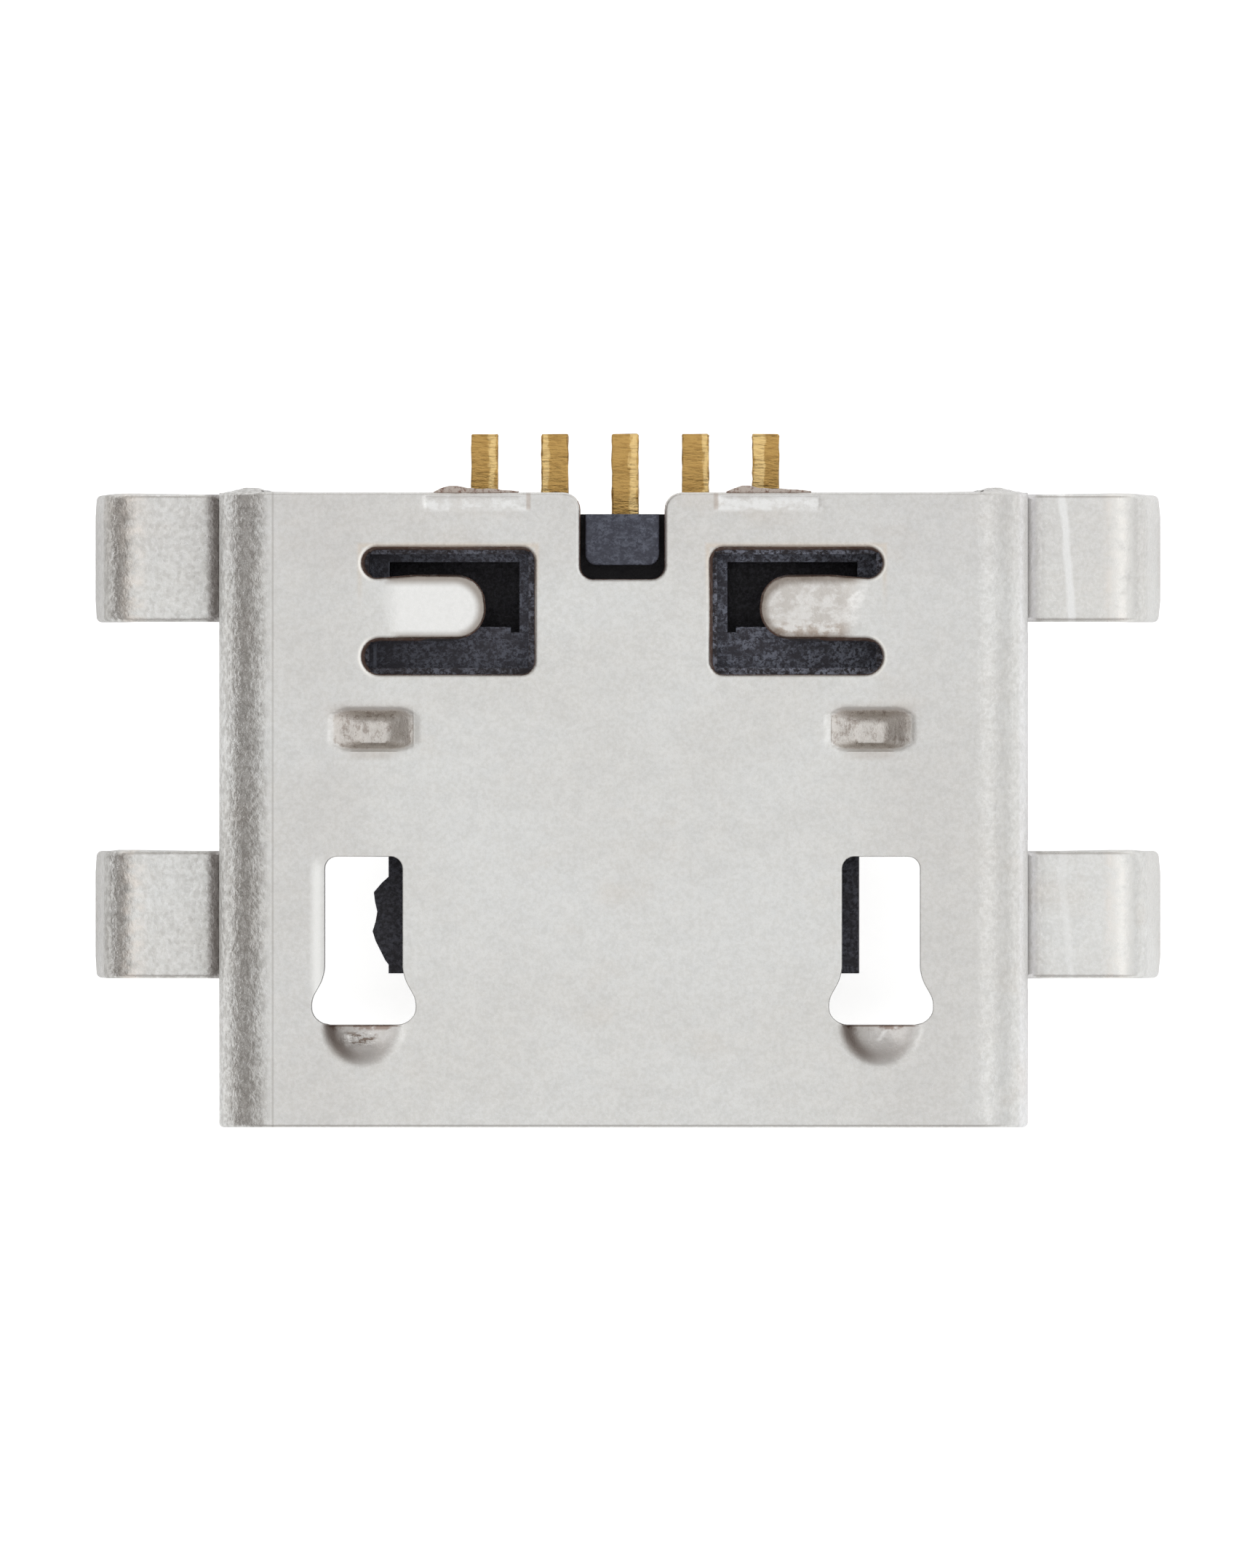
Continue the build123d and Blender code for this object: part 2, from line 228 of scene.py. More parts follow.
def open_up(piece, kind):
    """Put a piece in edit mode with nothing selected, and give its shape."""
    if bpy.context.object is not piece or piece.mode != "EDIT":
        take(piece)
        bpy.ops.object.mode_set(mode="EDIT")
    bpy.ops.mesh.select_mode(type=kind)
    bpy.ops.mesh.select_all(action="DESELECT")
    return bmesh.from_edit_mesh(piece.data)


def select_all():
    """Select all of the piece that is in edit mode."""
    bpy.ops.mesh.select_all(action="SELECT")


def open_whole(piece):
    """Put a piece in edit mode with all of it selected."""
    take(piece)
    bpy.ops.object.mode_set(mode="EDIT")
    select_all()


def pick(piece, wanted, kind="VERT", enough=all):
    """In edit mode, select the vertices, edges or faces whose corners pass, all or any."""
    shape = open_up(piece, kind)
    groups = {"VERT": shape.verts, "EDGE": shape.edges, "FACE": shape.faces}
    for item in groups[kind]:
        corners = [item] if kind == "VERT" else item.verts
        if enough(wanted(corner.co) for corner in corners):
            item.select = True
    shape.select_flush_mode()
    bmesh.update_edit_mesh(piece.data)


def pick_edges(piece, wanted, least=0.5):
    """In edit mode, select the edges that pass and whose two faces meet at an angle."""
    take(piece)
    shape = open_up(piece, "EDGE")
    for edge in shape.edges:
        if all(wanted(corner.co) for corner in edge.verts) and edge.calc_face_angle(0) > least:
            edge.select = True
    shape.select_flush_mode()
    bmesh.update_edit_mesh(piece.data)


def move(x=0.0, y=0.0, z=0.0):
    """Move what is selected in edit mode."""
    bpy.ops.transform.translate(value=(x, y, z))


def push_out(x=0.0, y=0.0, z=0.0):
    """Extrude the selected face and move it."""
    bpy.ops.mesh.extrude_region_move(TRANSFORM_OT_translate={"value": (x, y, z)})


def draw_edges(y, z=0.0):
    """Extrude the selected edges and move them."""
    bpy.ops.mesh.extrude_edges_move(TRANSFORM_OT_translate={"value": (0, y, z)})


def roll_edges(width, steps=3, kind="EDGES"):
    """Round the selected edges, or the corners of a flat outline."""
    bpy.ops.mesh.bevel(affect=kind, offset=width, segments=steps, profile=0.5)


def tidy_normals(piece):
    """Merge doubled vertices and turn every face outward."""
    open_whole(piece)
    bpy.ops.mesh.remove_doubles(threshold=TOUCHING)
    bpy.ops.mesh.normals_make_consistent(inside=False)
    put_down()


def score(place, normal):
    """Cut the selected faces along a plane."""
    bpy.ops.mesh.bisect(plane_co=place, plane_no=normal, threshold=TOUCHING)


def round_corner(piece, places, radius, steps=6):
    """Round the corners of a flat blank that lie at these places."""
    near = [Vector((x, y)) for x, y in places]
    pick(piece, lambda c: any((c.xy - spot).length < CLOSE for spot in near))
    roll_edges(radius, steps, "VERTICES")


def flat_blank(name, low, high, scores_x=(), scores_y=(), keep=None):
    """A flat blank between two corners, scored and trimmed to the cells that are kept."""
    put_down()
    middle = ((low[0] + high[0]) / 2, (low[1] + high[1]) / 2, 0)
    bpy.ops.mesh.primitive_plane_add(size=1, location=middle)
    blank = bpy.context.object
    blank.name = name
    blank.scale = (high[0] - low[0], high[1] - low[1], 1)
    bpy.ops.object.transform_apply(location=True, rotation=True, scale=True)
    bpy.ops.object.mode_set(mode="EDIT")
    for x in scores_x:
        select_all()
        score((x, 0, 0), (1, 0, 0))
    for y in scores_y:
        select_all()
        score((0, y, 0), (0, 1, 0))
    if keep:
        bpy.ops.mesh.select_mode(type="FACE")
        bpy.ops.mesh.select_all(action="DESELECT")
        shape = bmesh.from_edit_mesh(blank.data)
        for cell in shape.faces:
            cell.select = not keep(cell.calc_center_median())
        bmesh.update_edit_mesh(blank.data)
        bpy.ops.mesh.delete(type="FACE")
        select_all()
        bpy.ops.mesh.dissolve_limited(angle_limit=0.01)
    return blank


def prism(blank, bottom, top):
    """Turn a flat blank into a block between two heights."""
    open_whole(blank)
    move(z=bottom)
    push_out(z=top - bottom)
    tidy_normals(blank)
    return blank


def apply(piece, kind, **settings):
    """Give a piece a modifier with these settings and apply it."""
    modifier = piece.modifiers.new(kind.title(), kind)
    for name, value in settings.items():
        setattr(modifier, name, value)
    bpy.ops.object.modifier_apply(modifier=modifier.name)


def twin(piece):
    """A mirrored copy on the other side of the middle, with its own mesh."""
    take(piece)
    bpy.ops.object.duplicate(linked=False)
    other = bpy.context.object
    other.scale = (-1, 1, 1)
    bpy.ops.object.transform_apply(location=False, rotation=False, scale=True)
    tidy_normals(other)
    return other


def with_twins(pieces):
    """The pieces and their mirrored copies."""
    return pieces + [twin(piece) for piece in pieces]


def combine(target, tools, operation):
    """Unite or carve a piece with blocks, one after the other; the blocks are used up."""
    take(target)
    for tool in tools:
        apply(target, "BOOLEAN", operation=operation, solver="EXACT", object=tool)
        bpy.data.objects.remove(tool, do_unlink=True)


def carve(target, tools):
    combine(target, tools, "DIFFERENCE")


def weld(target, tools):
    combine(target, tools, "UNION")


def finish_piece(piece, name, node):
    """Shade a piece so that only bends and rolled edges turn, shrink it from the bench to
    its real size and put it in its node's place."""
    piece.name = name
    piece.data.name = name
    take(piece)
    bpy.ops.object.shade_smooth_by_angle(angle=SMOOTH_UNDER)
    apply(piece, "WEIGHTED_NORMAL", keep_sharp=True)
    apply(piece, "TRIANGULATE", keep_custom_normals=True)
    piece.scale = (MM, MM, MM)
    bpy.ops.object.transform_apply(location=True, rotation=True, scale=True)
    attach(piece, BODY)
    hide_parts(node)


def mouth_outline(name, size, bevel, shoulder, lower, shoulder_steps, lower_steps):
    """The outline of the mouth as an upright face, with its corners bevelled and rounded."""
    put_down()
    bpy.ops.mesh.primitive_plane_add(size=1, rotation=(math.radians(90), 0, 0))
    face = bpy.context.object
    face.name = name
    face.scale = (*size, 1)
    bpy.ops.object.transform_apply(location=True, rotation=True, scale=True)
    pick(face, lambda c: c.z < 0)
    roll_edges(bevel, 1, "VERTICES")
    pick(face, lambda c: c.z > 0)
    roll_edges(shoulder, shoulder_steps, "VERTICES")
    pick(face, lambda c: c.z < bevel - size[1] / 2 + CLOSE)
    roll_edges(lower * math.tan(math.radians(22.5)), lower_steps, "VERTICES")
    return face


def wrapped_section(s):
    """The sheet wrapped round the opening, from the mouth to the rear edge."""
    size = (s.opening_width, s.opening_height)
    tube = mouth_outline("shell_folded", size, s.bevel, s.shoulder_bend, s.bevel_bend, 12, 6)
    pick(tube, lambda c: True, "FACE")
    bpy.ops.mesh.delete(type="ONLY_FACE")
    bpy.ops.mesh.select_mode(type="EDGE")
    select_all()
    draw_edges(s.depth)
    select_all()
    bpy.ops.mesh.normals_make_consistent(inside=False)
    put_down()
    take(tube)
    apply(tube, "SOLIDIFY", thickness=s.sheet, offset=1.0, use_even_offset=True)
    return tube


def latch_slots(s, top):
    """Slots that the plug's latches snap into, each with a bell-shaped head."""
    x = s.latch_spacing / 2
    front = s.latch_front
    rear = front + s.latch_length
    widest = front + s.head_middle
    neck = front + s.head_length
    stem = s.latch_width / 2
    blank = flat_blank("latch_slot", (x - stem, front), (x + stem, rear), (), (widest, neck))
    for side in (-1, 1):
        pick(blank, lambda c: abs(c.y - widest) < CLOSE and (c.x - x) * side > 0)
        move(x=side * (s.head_width / 2 - stem))
        pick(blank, lambda c: abs(c.y - front) < CLOSE and (c.x - x) * side > 0)
        move(x=side * (s.head_front / 2 - stem))
    select_all()
    bpy.ops.mesh.dissolve_limited(angle_limit=0.01)
    for half, y, radius in (
        (stem, rear, s.latch_corner),
        (stem, neck, s.latch_neck),
        (s.head_width / 2, widest, s.latch_neck),
        (s.head_front / 2, front, s.head_corner),
    ):
        round_corner(blank, [(x - half, y), (x + half, y)], radius)
    return with_twins([prism(blank, 0, top)])


def finger_cuts(s, top):
    """U-shaped cuts that free the retention fingers."""
    inner = s.cut_inner
    outer = inner + s.cut_width
    hinge = outer - s.finger_root
    tip = hinge - (hinge - inner - s.finger_gap) / math.cos(s.finger_bend)
    front = s.cut_front
    finger_front = front + s.front_arm
    finger_rear = finger_front + s.finger_width
    rear = finger_rear + s.rear_arm
    blank = flat_blank(
        "finger_cut",
        (inner, front),
        (outer, rear),
        (tip,),
        (finger_front, finger_rear),
        lambda c: c.x < tip or not finger_front < c.y < finger_rear,
    )
    grip = 0.002
    round_corner(blank, [(inner, front), (inner, rear)], s.cut_corner)
    ends = [(outer, front), (outer, finger_front)]
    round_corner(blank, ends, s.front_arm / 2 - grip, 8)
    ends = [(outer, finger_rear), (outer, rear)]
    round_corner(blank, ends, s.rear_arm / 2 - grip, 8)
    ends = [(tip, finger_front), (tip, finger_rear)]
    round_corner(blank, ends, s.finger_width / 2 - grip, 10)
    return with_twins([prism(blank, 0, top)])


def key_notch(s, top):
    """Notch in the rear edge, with its outer corners rounded."""
    half = s.notch_width / 2
    wide = half + 2 * s.notch_mouth
    front = s.depth - s.notch_length
    blank = flat_blank(
        "key_notch",
        (-wide, front),
        (wide, s.depth + s.notch_mouth),
        (-half, half),
        (s.depth,),
        lambda c: abs(c.x) < half or c.y > s.depth,
    )
    round_corner(blank, [(-half, front), (half, front)], s.notch_corner)
    round_corner(blank, [(-half, s.depth), (half, s.depth)], s.notch_mouth)
    return [prism(blank, 0, top)]


def leg_places(s):
    """Middles of the legs, from the mouth."""
    return s.front_leg_y, s.depth - s.rear_leg_margin - s.leg_width / 2


def narrow_face_openings(s, bottom):
    """Openings that the legs and the spring arms leave."""
    blank_top = bottom + s.board_sink + s.sheet + s.leg_hollow + s.leg_relief
    side = s.opening_width / 2 + 2 * s.sheet
    half = s.leg_width / 2 + s.leg_relief
    front_leg, rear_leg = leg_places(s)
    tools = []
    runs = ((front_leg - half, front_leg + half), (rear_leg - half, s.depth + s.sheet))
    for start, end in runs:
        blank = flat_blank("leg_blank", (s.blank_inner, start), (side, end))
        corners = [(s.blank_inner, start)]
        if end < s.depth:
            corners.append((s.blank_inner, end))
        round_corner(blank, corners, s.blank_corner)
        tools.append(prism(blank, bottom - s.sheet, blank_top))
    spring_outer = s.spring_inner + s.spring_width
    slit_inner = s.spring_inner - s.spring_slit
    slit_outer = spring_outer + s.spring_slit
    window_rear = front_leg + half

    def open_cell(c):
        on_spring = s.spring_inner < c.x < spring_outer and c.y > s.window_front + 0.02
        beside = slit_inner < c.x < slit_outer
        return not on_spring and (beside or c.y < window_rear)

    window = flat_blank(
        "window",
        (s.window_inner, s.window_front),
        (s.window_outer, s.spring_root),
        (slit_inner, s.spring_inner, spring_outer, slit_outer),
        (s.window_front + 0.02, window_rear),
        open_cell,
    )
    corners = [(s.window_inner, s.window_front), (s.window_outer, s.window_front)]
    round_corner(window, corners, s.blank_corner)
    tools.append(prism(window, bottom - s.sheet, bottom + s.sheet + s.bevel))
    side = s.blank_inner + 0.1
    low, high = (-side, s.depth - s.narrow_setback), (side, s.depth + s.sheet)
    strip = flat_blank("rear_strip", low, high)
    return [prism(strip, bottom - s.sheet, bottom + 2 * s.sheet)] + with_twins(tools)


def at_latch_slot(c, s):
    """The rim of a latch slot on the outside of the wide face."""
    beside = abs(abs(c.x) - s.latch_spacing / 2) < s.head_width / 2 + 0.01
    along = s.latch_front - 0.01 < c.y < s.latch_front + s.latch_length + 0.01
    return beside and along and c.z > (s.opening_height + s.sheet) / 2


def on_outer_skin(c, s):
    """The outside of the wide face, of the shoulders and, at the mouth, of the whole tube."""
    if at_latch_slot(c, s):
        return False
    away_x = abs(c.x) - s.opening_width / 2 + s.shoulder_bend
    away_z = c.z - s.opening_height / 2 + s.shoulder_bend
    middle = s.shoulder_bend + s.sheet / 2
    if away_z > -NEAR and away_x > -NEAR:
        return math.hypot(away_x, away_z) > middle
    if c.y > NEAR or away_z > -NEAR:
        return c.z > s.opening_height / 2 + s.sheet / 2
    slanted = abs(c.x) - c.z - (s.opening_width + s.opening_height) / 2 + s.bevel
    on_side = away_x > middle or slanted > s.sheet / 2 * math.sqrt(2)
    return on_side or c.z < -(s.opening_height + s.sheet) / 2


def halve(tube):
    """Keep only the half on the +X side; its twin comes back once it is shaped."""
    open_whole(tube)
    bpy.ops.mesh.bisect(
        plane_co=(0, 0, 0), plane_no=(1, 0, 0), clear_inner=True, threshold=TOUCHING
    )
    put_down()


def grid(tube, low, high, step):
    """Score the wide face finely between two corners, so that it can be pressed."""

    def lines(start, end):
        count = max(1, round((end - start) / step))
        return [start + (end - start) * number / count for number in range(count + 1)]

    def near(c):
        inside_x = low[0] - NEAR < c.x < high[0] + NEAR
        return inside_x and low[1] - NEAR < c.y < high[1] + NEAR and c.z > WIDE_FACE

    for axis in (0, 1):
        normal = (1, 0, 0) if axis == 0 else (0, 1, 0)
        for place in (low[axis], high[axis]):
            pick(tube, lambda c: c.z > WIDE_FACE, "FACE")
            score([place * component for component in normal], normal)
    for axis in (0, 1):
        normal = (1, 0, 0) if axis == 0 else (0, 1, 0)
        for place in lines(low[axis], high[axis])[1:-1]:
            pick(tube, near, "FACE")
            score([place * component for component in normal], normal)


def press(tube, inside, shares, depth, smooth=2):
    """Press the sheet in stages, each stage in a smaller shape, then let it relax."""
    for share in shares:
        pick(tube, lambda c: inside(c, share))
        move(z=depth / len(shares))
    if smooth:
        pick(tube, lambda c: inside(c, shares[0] * 1.1))
        bpy.ops.mesh.vertices_smooth(
            factor=0.5, repeat=smooth, xaxis=False, yaxis=False, zaxis=True, wait_for_input=False
        )


def press_lip(tube, s):
    """Half a dome in front of a latch slot, which guides the plug's latch."""
    x = s.latch_spacing / 2
    room = s.lip_radius + 0.09
    grid(tube, (x - room, s.latch_front - room), (x + room, s.latch_front), s.press_grid)
    ball = (s.lip_radius**2 + s.lip_rise**2) / (2 * s.lip_rise)
    stages = 12
    shares = []
    for stage in range(stages):
        rise = s.lip_rise * (stage + 0.5) / stages
        reach = math.sqrt(ball**2 - (ball - s.lip_rise + rise) ** 2)
        shares.append(reach / s.lip_radius)

    def inside(c, share):
        reach = s.lip_radius * share
        return (
            c.z > WIDE_FACE
            and c.y < s.latch_front + NEAR
            and (c.x - x) ** 2 + (c.y - s.latch_front) ** 2 < reach**2
        )

    press(tube, inside, shares, s.lip_rise)


def press_dimple(tube, s):
    """A dimple with steep walls round a small flat square."""
    x = s.dimple_spacing / 2
    half_x = s.dimple_width / 2
    half_y = s.dimple_length / 2
    room = 0.08
    low = (x - half_x - room, s.dimple_y - half_y - room)
    high = (x + half_x + room, s.dimple_y + half_y + room)
    grid(tube, low, high, s.press_grid * 0.8)
    flat = s.dimple_flat / 2

    def inside(c, share):
        wide = flat + (half_x - flat) * share
        long = flat * 0.9 + (half_y - flat * 0.9) * share
        across = abs(c.x - x) / wide
        along = abs(c.y - s.dimple_y + 0.02 * (1 - share)) / long
        return c.z > WIDE_FACE and across < 1 and along < 1 and across + along < 1.75

    press(tube, inside, [1.0, 0.9, 0.78, 0.66, 0.54, 0.42, 0.3, 0.18, 0.08], -s.dimple_depth, 1)


def coin_mark(tube, s):
    """Shallow coined mark before a stub of the carrier strip."""
    x = s.stub_spacing / 2
    half = s.coin_width / 2
    rear = s.depth - 0.02
    grid(tube, (x - half, rear - s.coin_length), (x + half, rear), s.press_grid * 1.4)

    def inside(c, share):
        edge = 0.03 * (1 - share)
        inside_x = abs(c.x - x) < half - edge
        return c.z > 1.1 and inside_x and rear - s.coin_length + edge < c.y < rear - edge

    press(tube, inside, [0.9, 0.2], -s.coin_depth, 0)


def lean_walls(tube, s, picked, across, along):
    """Let the cut walls lean out, as a worn punch leaves them, so that they show from above."""
    inner = s.opening_height / 2
    high = s.cut_front + s.front_arm + s.finger_width + s.rear_arm
    low = s.cut_front - 0.01
    pick(tube, lambda c: abs(c.z - inner) < NEAR and low < c.y < high + 0.01 and picked(c))
    move(x=across * s.cut_taper, y=along * s.cut_taper)


def bend_strip(tube, on_strip, hinges, axis, height, total):
    """Bend a strip at its hinges, the far one first, each by the same share of an angle."""
    across = 0 if axis == "Y" else 1
    normal = (1, 0, 0) if axis == "Y" else (0, 1, 0)
    for hinge in hinges:
        pick(tube, on_strip, "FACE", any)
        score([hinge * component for component in normal], normal)
    for hinge in reversed(hinges):
        pick(tube, lambda c: on_strip(c) and c[across] < hinge - NEAR)
        centre = Vector(normal) * hinge + Vector((0, 0, height))
        bpy.ops.transform.rotate(
            value=total / len(hinges), orient_axis=axis, center_override=centre
        )


def spread(start, run, count):
    """Places that share out a run from a start towards the mouth or the middle."""
    return [start - run * number / (count - 1) for number in range(count)]


def bend_finger(tube, s):
    """Bend a retention finger down towards the middle of the shell."""
    outer = s.cut_inner + s.cut_width
    hinge = outer - s.finger_root
    front = s.cut_front + s.front_arm
    rear = front + s.finger_width

    def finger(c):
        beside_middle = s.cut_inner + 0.1 < c.x < hinge + 0.02
        return front - s.cut_taper - NEAR < c.y < rear + NEAR and beside_middle and c.z > 0.4

    pick(tube, lambda c: finger(c) and c.x < hinge - 0.3 and c.y > rear - 0.2)
    move(y=s.finger_swell)
    rear += s.finger_swell
    hinges = spread(hinge, s.finger_curve * s.finger_bend, 7)
    bend_strip(tube, finger, hinges, "Y", (s.opening_height + s.sheet) / 2, s.finger_bend)


def bend_spring(tube, s):
    """Bow a spring arm up into the way of the plug, its tip turned back down."""
    root = s.spring_root - s.spring_run
    crest = root - (root - s.spring_crest) / math.cos(s.spring_rise)
    height = -(s.opening_height + s.sheet) / 2

    def spring(c):
        beside = s.spring_inner - NEAR < c.x < s.spring_inner + s.spring_width + NEAR
        return beside and s.window_front + 0.01 < c.y < root + 0.02 and c.z < 0

    tip = spread(crest + s.spring_curve * s.spring_dip / 2, s.spring_curve * s.spring_dip, 9)
    bend_strip(tube, spring, tip, "X", height, -s.spring_dip)
    rise = spread(root, s.spring_curve * s.spring_rise, 6)
    bend_strip(tube, spring, rise, "X", height, s.spring_rise)


def draw_leg(tube, s, middle):
    """Draw a leg down from the side, out over the board and down through it."""
    top = s.opening_height / 2 + s.sheet
    side = s.opening_width / 2 + s.sheet
    board = s.board_sink - top
    hollow = Vector((side + s.leg_hollow, middle, board + s.sheet + s.leg_hollow))
    fibre = s.leg_knee + s.sheet / 2
    flat = s.leg_flat + fibre * (1 - math.tan(math.pi / 4 - s.leg_splay / 2))
    knee = Vector((hollow.x + flat, middle, board - s.leg_knee))
    start = hollow.z + s.leg_relief
    half = s.leg_width / 2
    lean = Vector((math.sin(s.leg_splay), 0, -math.cos(s.leg_splay)))
    out = Vector((math.cos(s.leg_splay), 0, math.sin(s.leg_splay)))
    reach = (s.leg_length - s.leg_knee + fibre * out.z) / out.x

    def wall_end(c):
        in_wall = side - s.sheet - NEAR < c.x < side + NEAR and abs(c.z - start) < NEAR
        return in_wall and abs(c.y - middle) < half + s.leg_relief + 0.05

    for edge in (middle - half, middle + half):
        pick(tube, wall_end, "FACE")
        score((0, edge, 0), (0, 1, 0))
    pick(tube, lambda c: wall_end(c) and abs(c.y - middle) < half + NEAR, "FACE")
    score((side - s.sheet / 2, 0, 0), (1, 0, 0))
    pick(tube, lambda c: wall_end(c) and abs(c.y - middle) < half + NEAR, "FACE")
    push_out(z=-s.leg_relief)
    bpy.ops.mesh.spin(steps=10, angle=math.pi / 2, center=hollow, axis=(0, 1, 0))
    push_out(x=flat)
    turn = s.leg_splay - math.pi / 2
    bpy.ops.mesh.spin(steps=10, angle=turn, center=knee, axis=(0, 1, 0))
    push_out(x=lean.x * reach, z=lean.z * reach)

    def at_tip(c):
        return (c - knee).dot(lean) > reach - NEAR and abs(c.y - middle) < half + NEAR

    tidy_normals(tube)
    for edge in (-half, half):
        pick(tube, lambda c: at_tip(c) and abs(c.y - middle - edge) < NEAR, "EDGE")
        roll_edges(s.leg_tip, 1)

    def outer_fibre(c):
        if abs(c.y - middle) > half + NEAR or c.z > start - NEAR or c.x < side - NEAR:
            return False
        if c.x < hollow.x + NEAR:
            return (c - Vector((hollow.x, c.y, hollow.z))).length < s.leg_hollow + NEAR or (
                c.z > hollow.z - NEAR and c.x > side - NEAR
            )
        if c.x < knee.x + NEAR:
            return c.z > board + s.sheet - NEAR
        away = c - Vector((knee.x, c.y, knee.z))
        rim = s.leg_knee + s.sheet - NEAR
        return away.dot(out) > rim or (away.z > 0 and away.length > rim)

    pick_edges(tube, lambda c: outer_fibre(c) and abs(abs(c.y - middle) - half) < NEAR)
    roll_edges(s.leg_roll, 4)

    def swollen(c, share):
        away = c - Vector((knee.x, c.y, knee.z))
        turned = abs(math.degrees(math.atan2(away.x, away.z)) - 45)
        return abs(away.length - fibre) < 0.02 and turned < 50 * share

    for share in (0.9, 0.6, 0.3):
        pick(tube, lambda c: swollen(c, share) and abs(c.y - middle - half) < 1e-2)
        move(y=s.bend_creep / 4)


def let_bends_creep(tube, s):
    """Where the sheet is bent, its middle and inner fibres swell past the rear edge."""
    bend = s.shoulder_bend
    centre = Vector((s.opening_width / 2 - bend, 0, s.opening_height / 2 - bend))

    def at_bend(c):
        return c.y > s.depth - NEAR and c.x > centre.x - 0.05 and c.z > centre.z - 0.05

    def swollen(c, share):
        away = Vector((c.x - centre.x, 0, c.z - centre.z))
        if c.y < s.depth - 0.01 or away.x < -NEAR or away.z < -NEAR:
            return False
        turned = abs(math.degrees(math.atan2(away.x, away.z)) - 42)
        return away.length < s.shoulder_bend + s.sheet * 0.7 and turned < 44 * share

    pick(tube, at_bend, "FACE")
    bpy.ops.mesh.inset(thickness=s.sheet * 0.35, use_boundary=True, use_even_offset=True)
    for share in (1.0, 0.8, 0.6, 0.4, 0.2):
        pick(tube, lambda c: swollen(c, share))
        move(y=s.bend_creep / 5)


def mirror_half(tube):
    """Bring back the other half as a mirrored twin, joined along the middle."""
    take(tube)
    apply(tube, "MIRROR", use_axis=(True, False, False), merge_threshold=CLOSE)
    tidy_normals(tube)


def seam(s, bottom):
    """Blocks that cut the seam of the narrow face and the outline of its dovetail."""
    half = s.seam_gap / 2
    neck = s.dovetail_neck / 2
    head = s.dovetail_head / 2
    levels = (bottom - s.sheet, bottom + 1.5 * s.sheet)
    tails = []
    for grow, inner_end in ((half, -half), (-half, -0.2)):
        tail = flat_blank(
            "dovetail",
            (inner_end, s.dovetail_y - neck - grow),
            (s.dovetail_reach + grow, s.dovetail_y + neck + grow),
        )
        for side in (-1, 1):
            pick(tail, lambda c: c.x > 0 and (c.y - s.dovetail_y) * side > 0)
            move(y=side * (head - neck))
        tails.append(prism(tail, *levels))
    carve(tails[0], [tails[1]])
    front = flat_blank("seam", (-half, -s.sheet), (half, s.dovetail_y - neck))
    rear = flat_blank("seam", (-half, s.dovetail_y + neck), (half, s.depth + s.sheet))
    return [tails[0], prism(front, *levels), prism(rear, *levels)]


def stubs(s, top):
    """Ragged stubs of the carrier strip, torn off at the rear edge and highest at one end."""
    profile = (0.1, 0.6, 1.0, 0.95, 0.7, 0.6, 0.5, 0.55, 0.45, 0.4, 0.3, 0.1)
    made = []
    for side in (-1, 1):
        start = side * s.stub_spacing / 2 - s.stub_width / 2
        places = [start + s.stub_width * number / 11 for number in range(12)]
        low, high = (start, s.depth - 0.04), (places[-1], s.depth + 0.01)
        blank = flat_blank("stub", low, high, places[1:-1], (s.depth,))
        stub = prism(blank, top - s.sheet * 0.9, top - s.coin_depth - 0.005)
        for place, height in zip(places, profile):
            pick(stub, lambda c: abs(c.x - place) < NEAR and c.y > s.depth + NEAR)
            move(y=s.stub_reach * height - 0.01)
        for level in (0.2, 0.4, 0.6):
            select_all()
            score((0, 0, top - s.sheet * level), (0, 0, 1))
        pick(stub, lambda c: c.y > s.depth + 2e-3)
        bpy.ops.transform.vertex_random(
            offset=s.stub_reach * 0.12, uniform=0.6, normal=0.0, seed=7 + side
        )
        put_down()
        made.append(stub)
    return made


class USBSOCKET_OT_shell(Operator):
    """Fold the shell from one sheet, pierce it, press it and bend its strips"""

    bl_idname = "usbsocket.shell"
    bl_label = "Shell"

    def execute(self, context):
        s = bench(context.scene.usb_shell)
        top = s.opening_height / 2 + s.sheet
        tube = wrapped_section(s)
        tools = latch_slots(s, 2 * top) + finger_cuts(s, 2 * top) + key_notch(s, 2 * top)
        tools += narrow_face_openings(s, -top)
        carve(tube, tools)
        pick_edges(tube, lambda c: on_outer_skin(c, s))
        roll_edges(s.edge_roll)
        pick_edges(tube, lambda c: at_latch_slot(c, s))
        roll_edges(s.edge_break, 2)
        halve(tube)
        press_lip(tube, s)
        press_dimple(tube, s)
        coin_mark(tube, s)
        step = s.cut_front + s.front_arm
        rear = step + s.finger_width + s.rear_arm
        outer = s.cut_inner + s.cut_width
        lean_walls(tube, s, lambda c: min(abs(c.y - step), abs(c.y - rear)) < 0.025, 0, -1)
        bend_finger(tube, s)
        bend_spring(tube, s)
        for middle in leg_places(s):
            draw_leg(tube, s, middle)
        let_bends_creep(tube, s)
        mirror_half(tube)
        lean_walls(tube, s, lambda c: -outer - 0.01 < c.x < 0.07 - outer, 1, 0)
        lean_walls(tube, s, lambda c: s.cut_inner - 0.01 < c.x < s.cut_inner + 0.03, 1, 0)
        carve(tube, seam(s, -top))
        weld(tube, stubs(s, top))
        pick(tube, lambda c: True)
        bpy.ops.mesh.fill_holes(sides=4)
        tones = context.scene.usb_finishes
        tube.data.materials.append(satin_steel(tones, s))
        tube.data.materials.append(sheared_shaded_steel(tones))
        pick_sheared_faces(tube, s)
        tube.active_material_index = 1
        bpy.ops.object.material_slot_assign()
        finish_piece(tube, "shell_folded", "shell")
        return {"FINISHED"}


def contact_middles(s):
    """Middles of the five contacts across the mouth."""
    return [(number - 2) * s.pitch for number in range(5)]


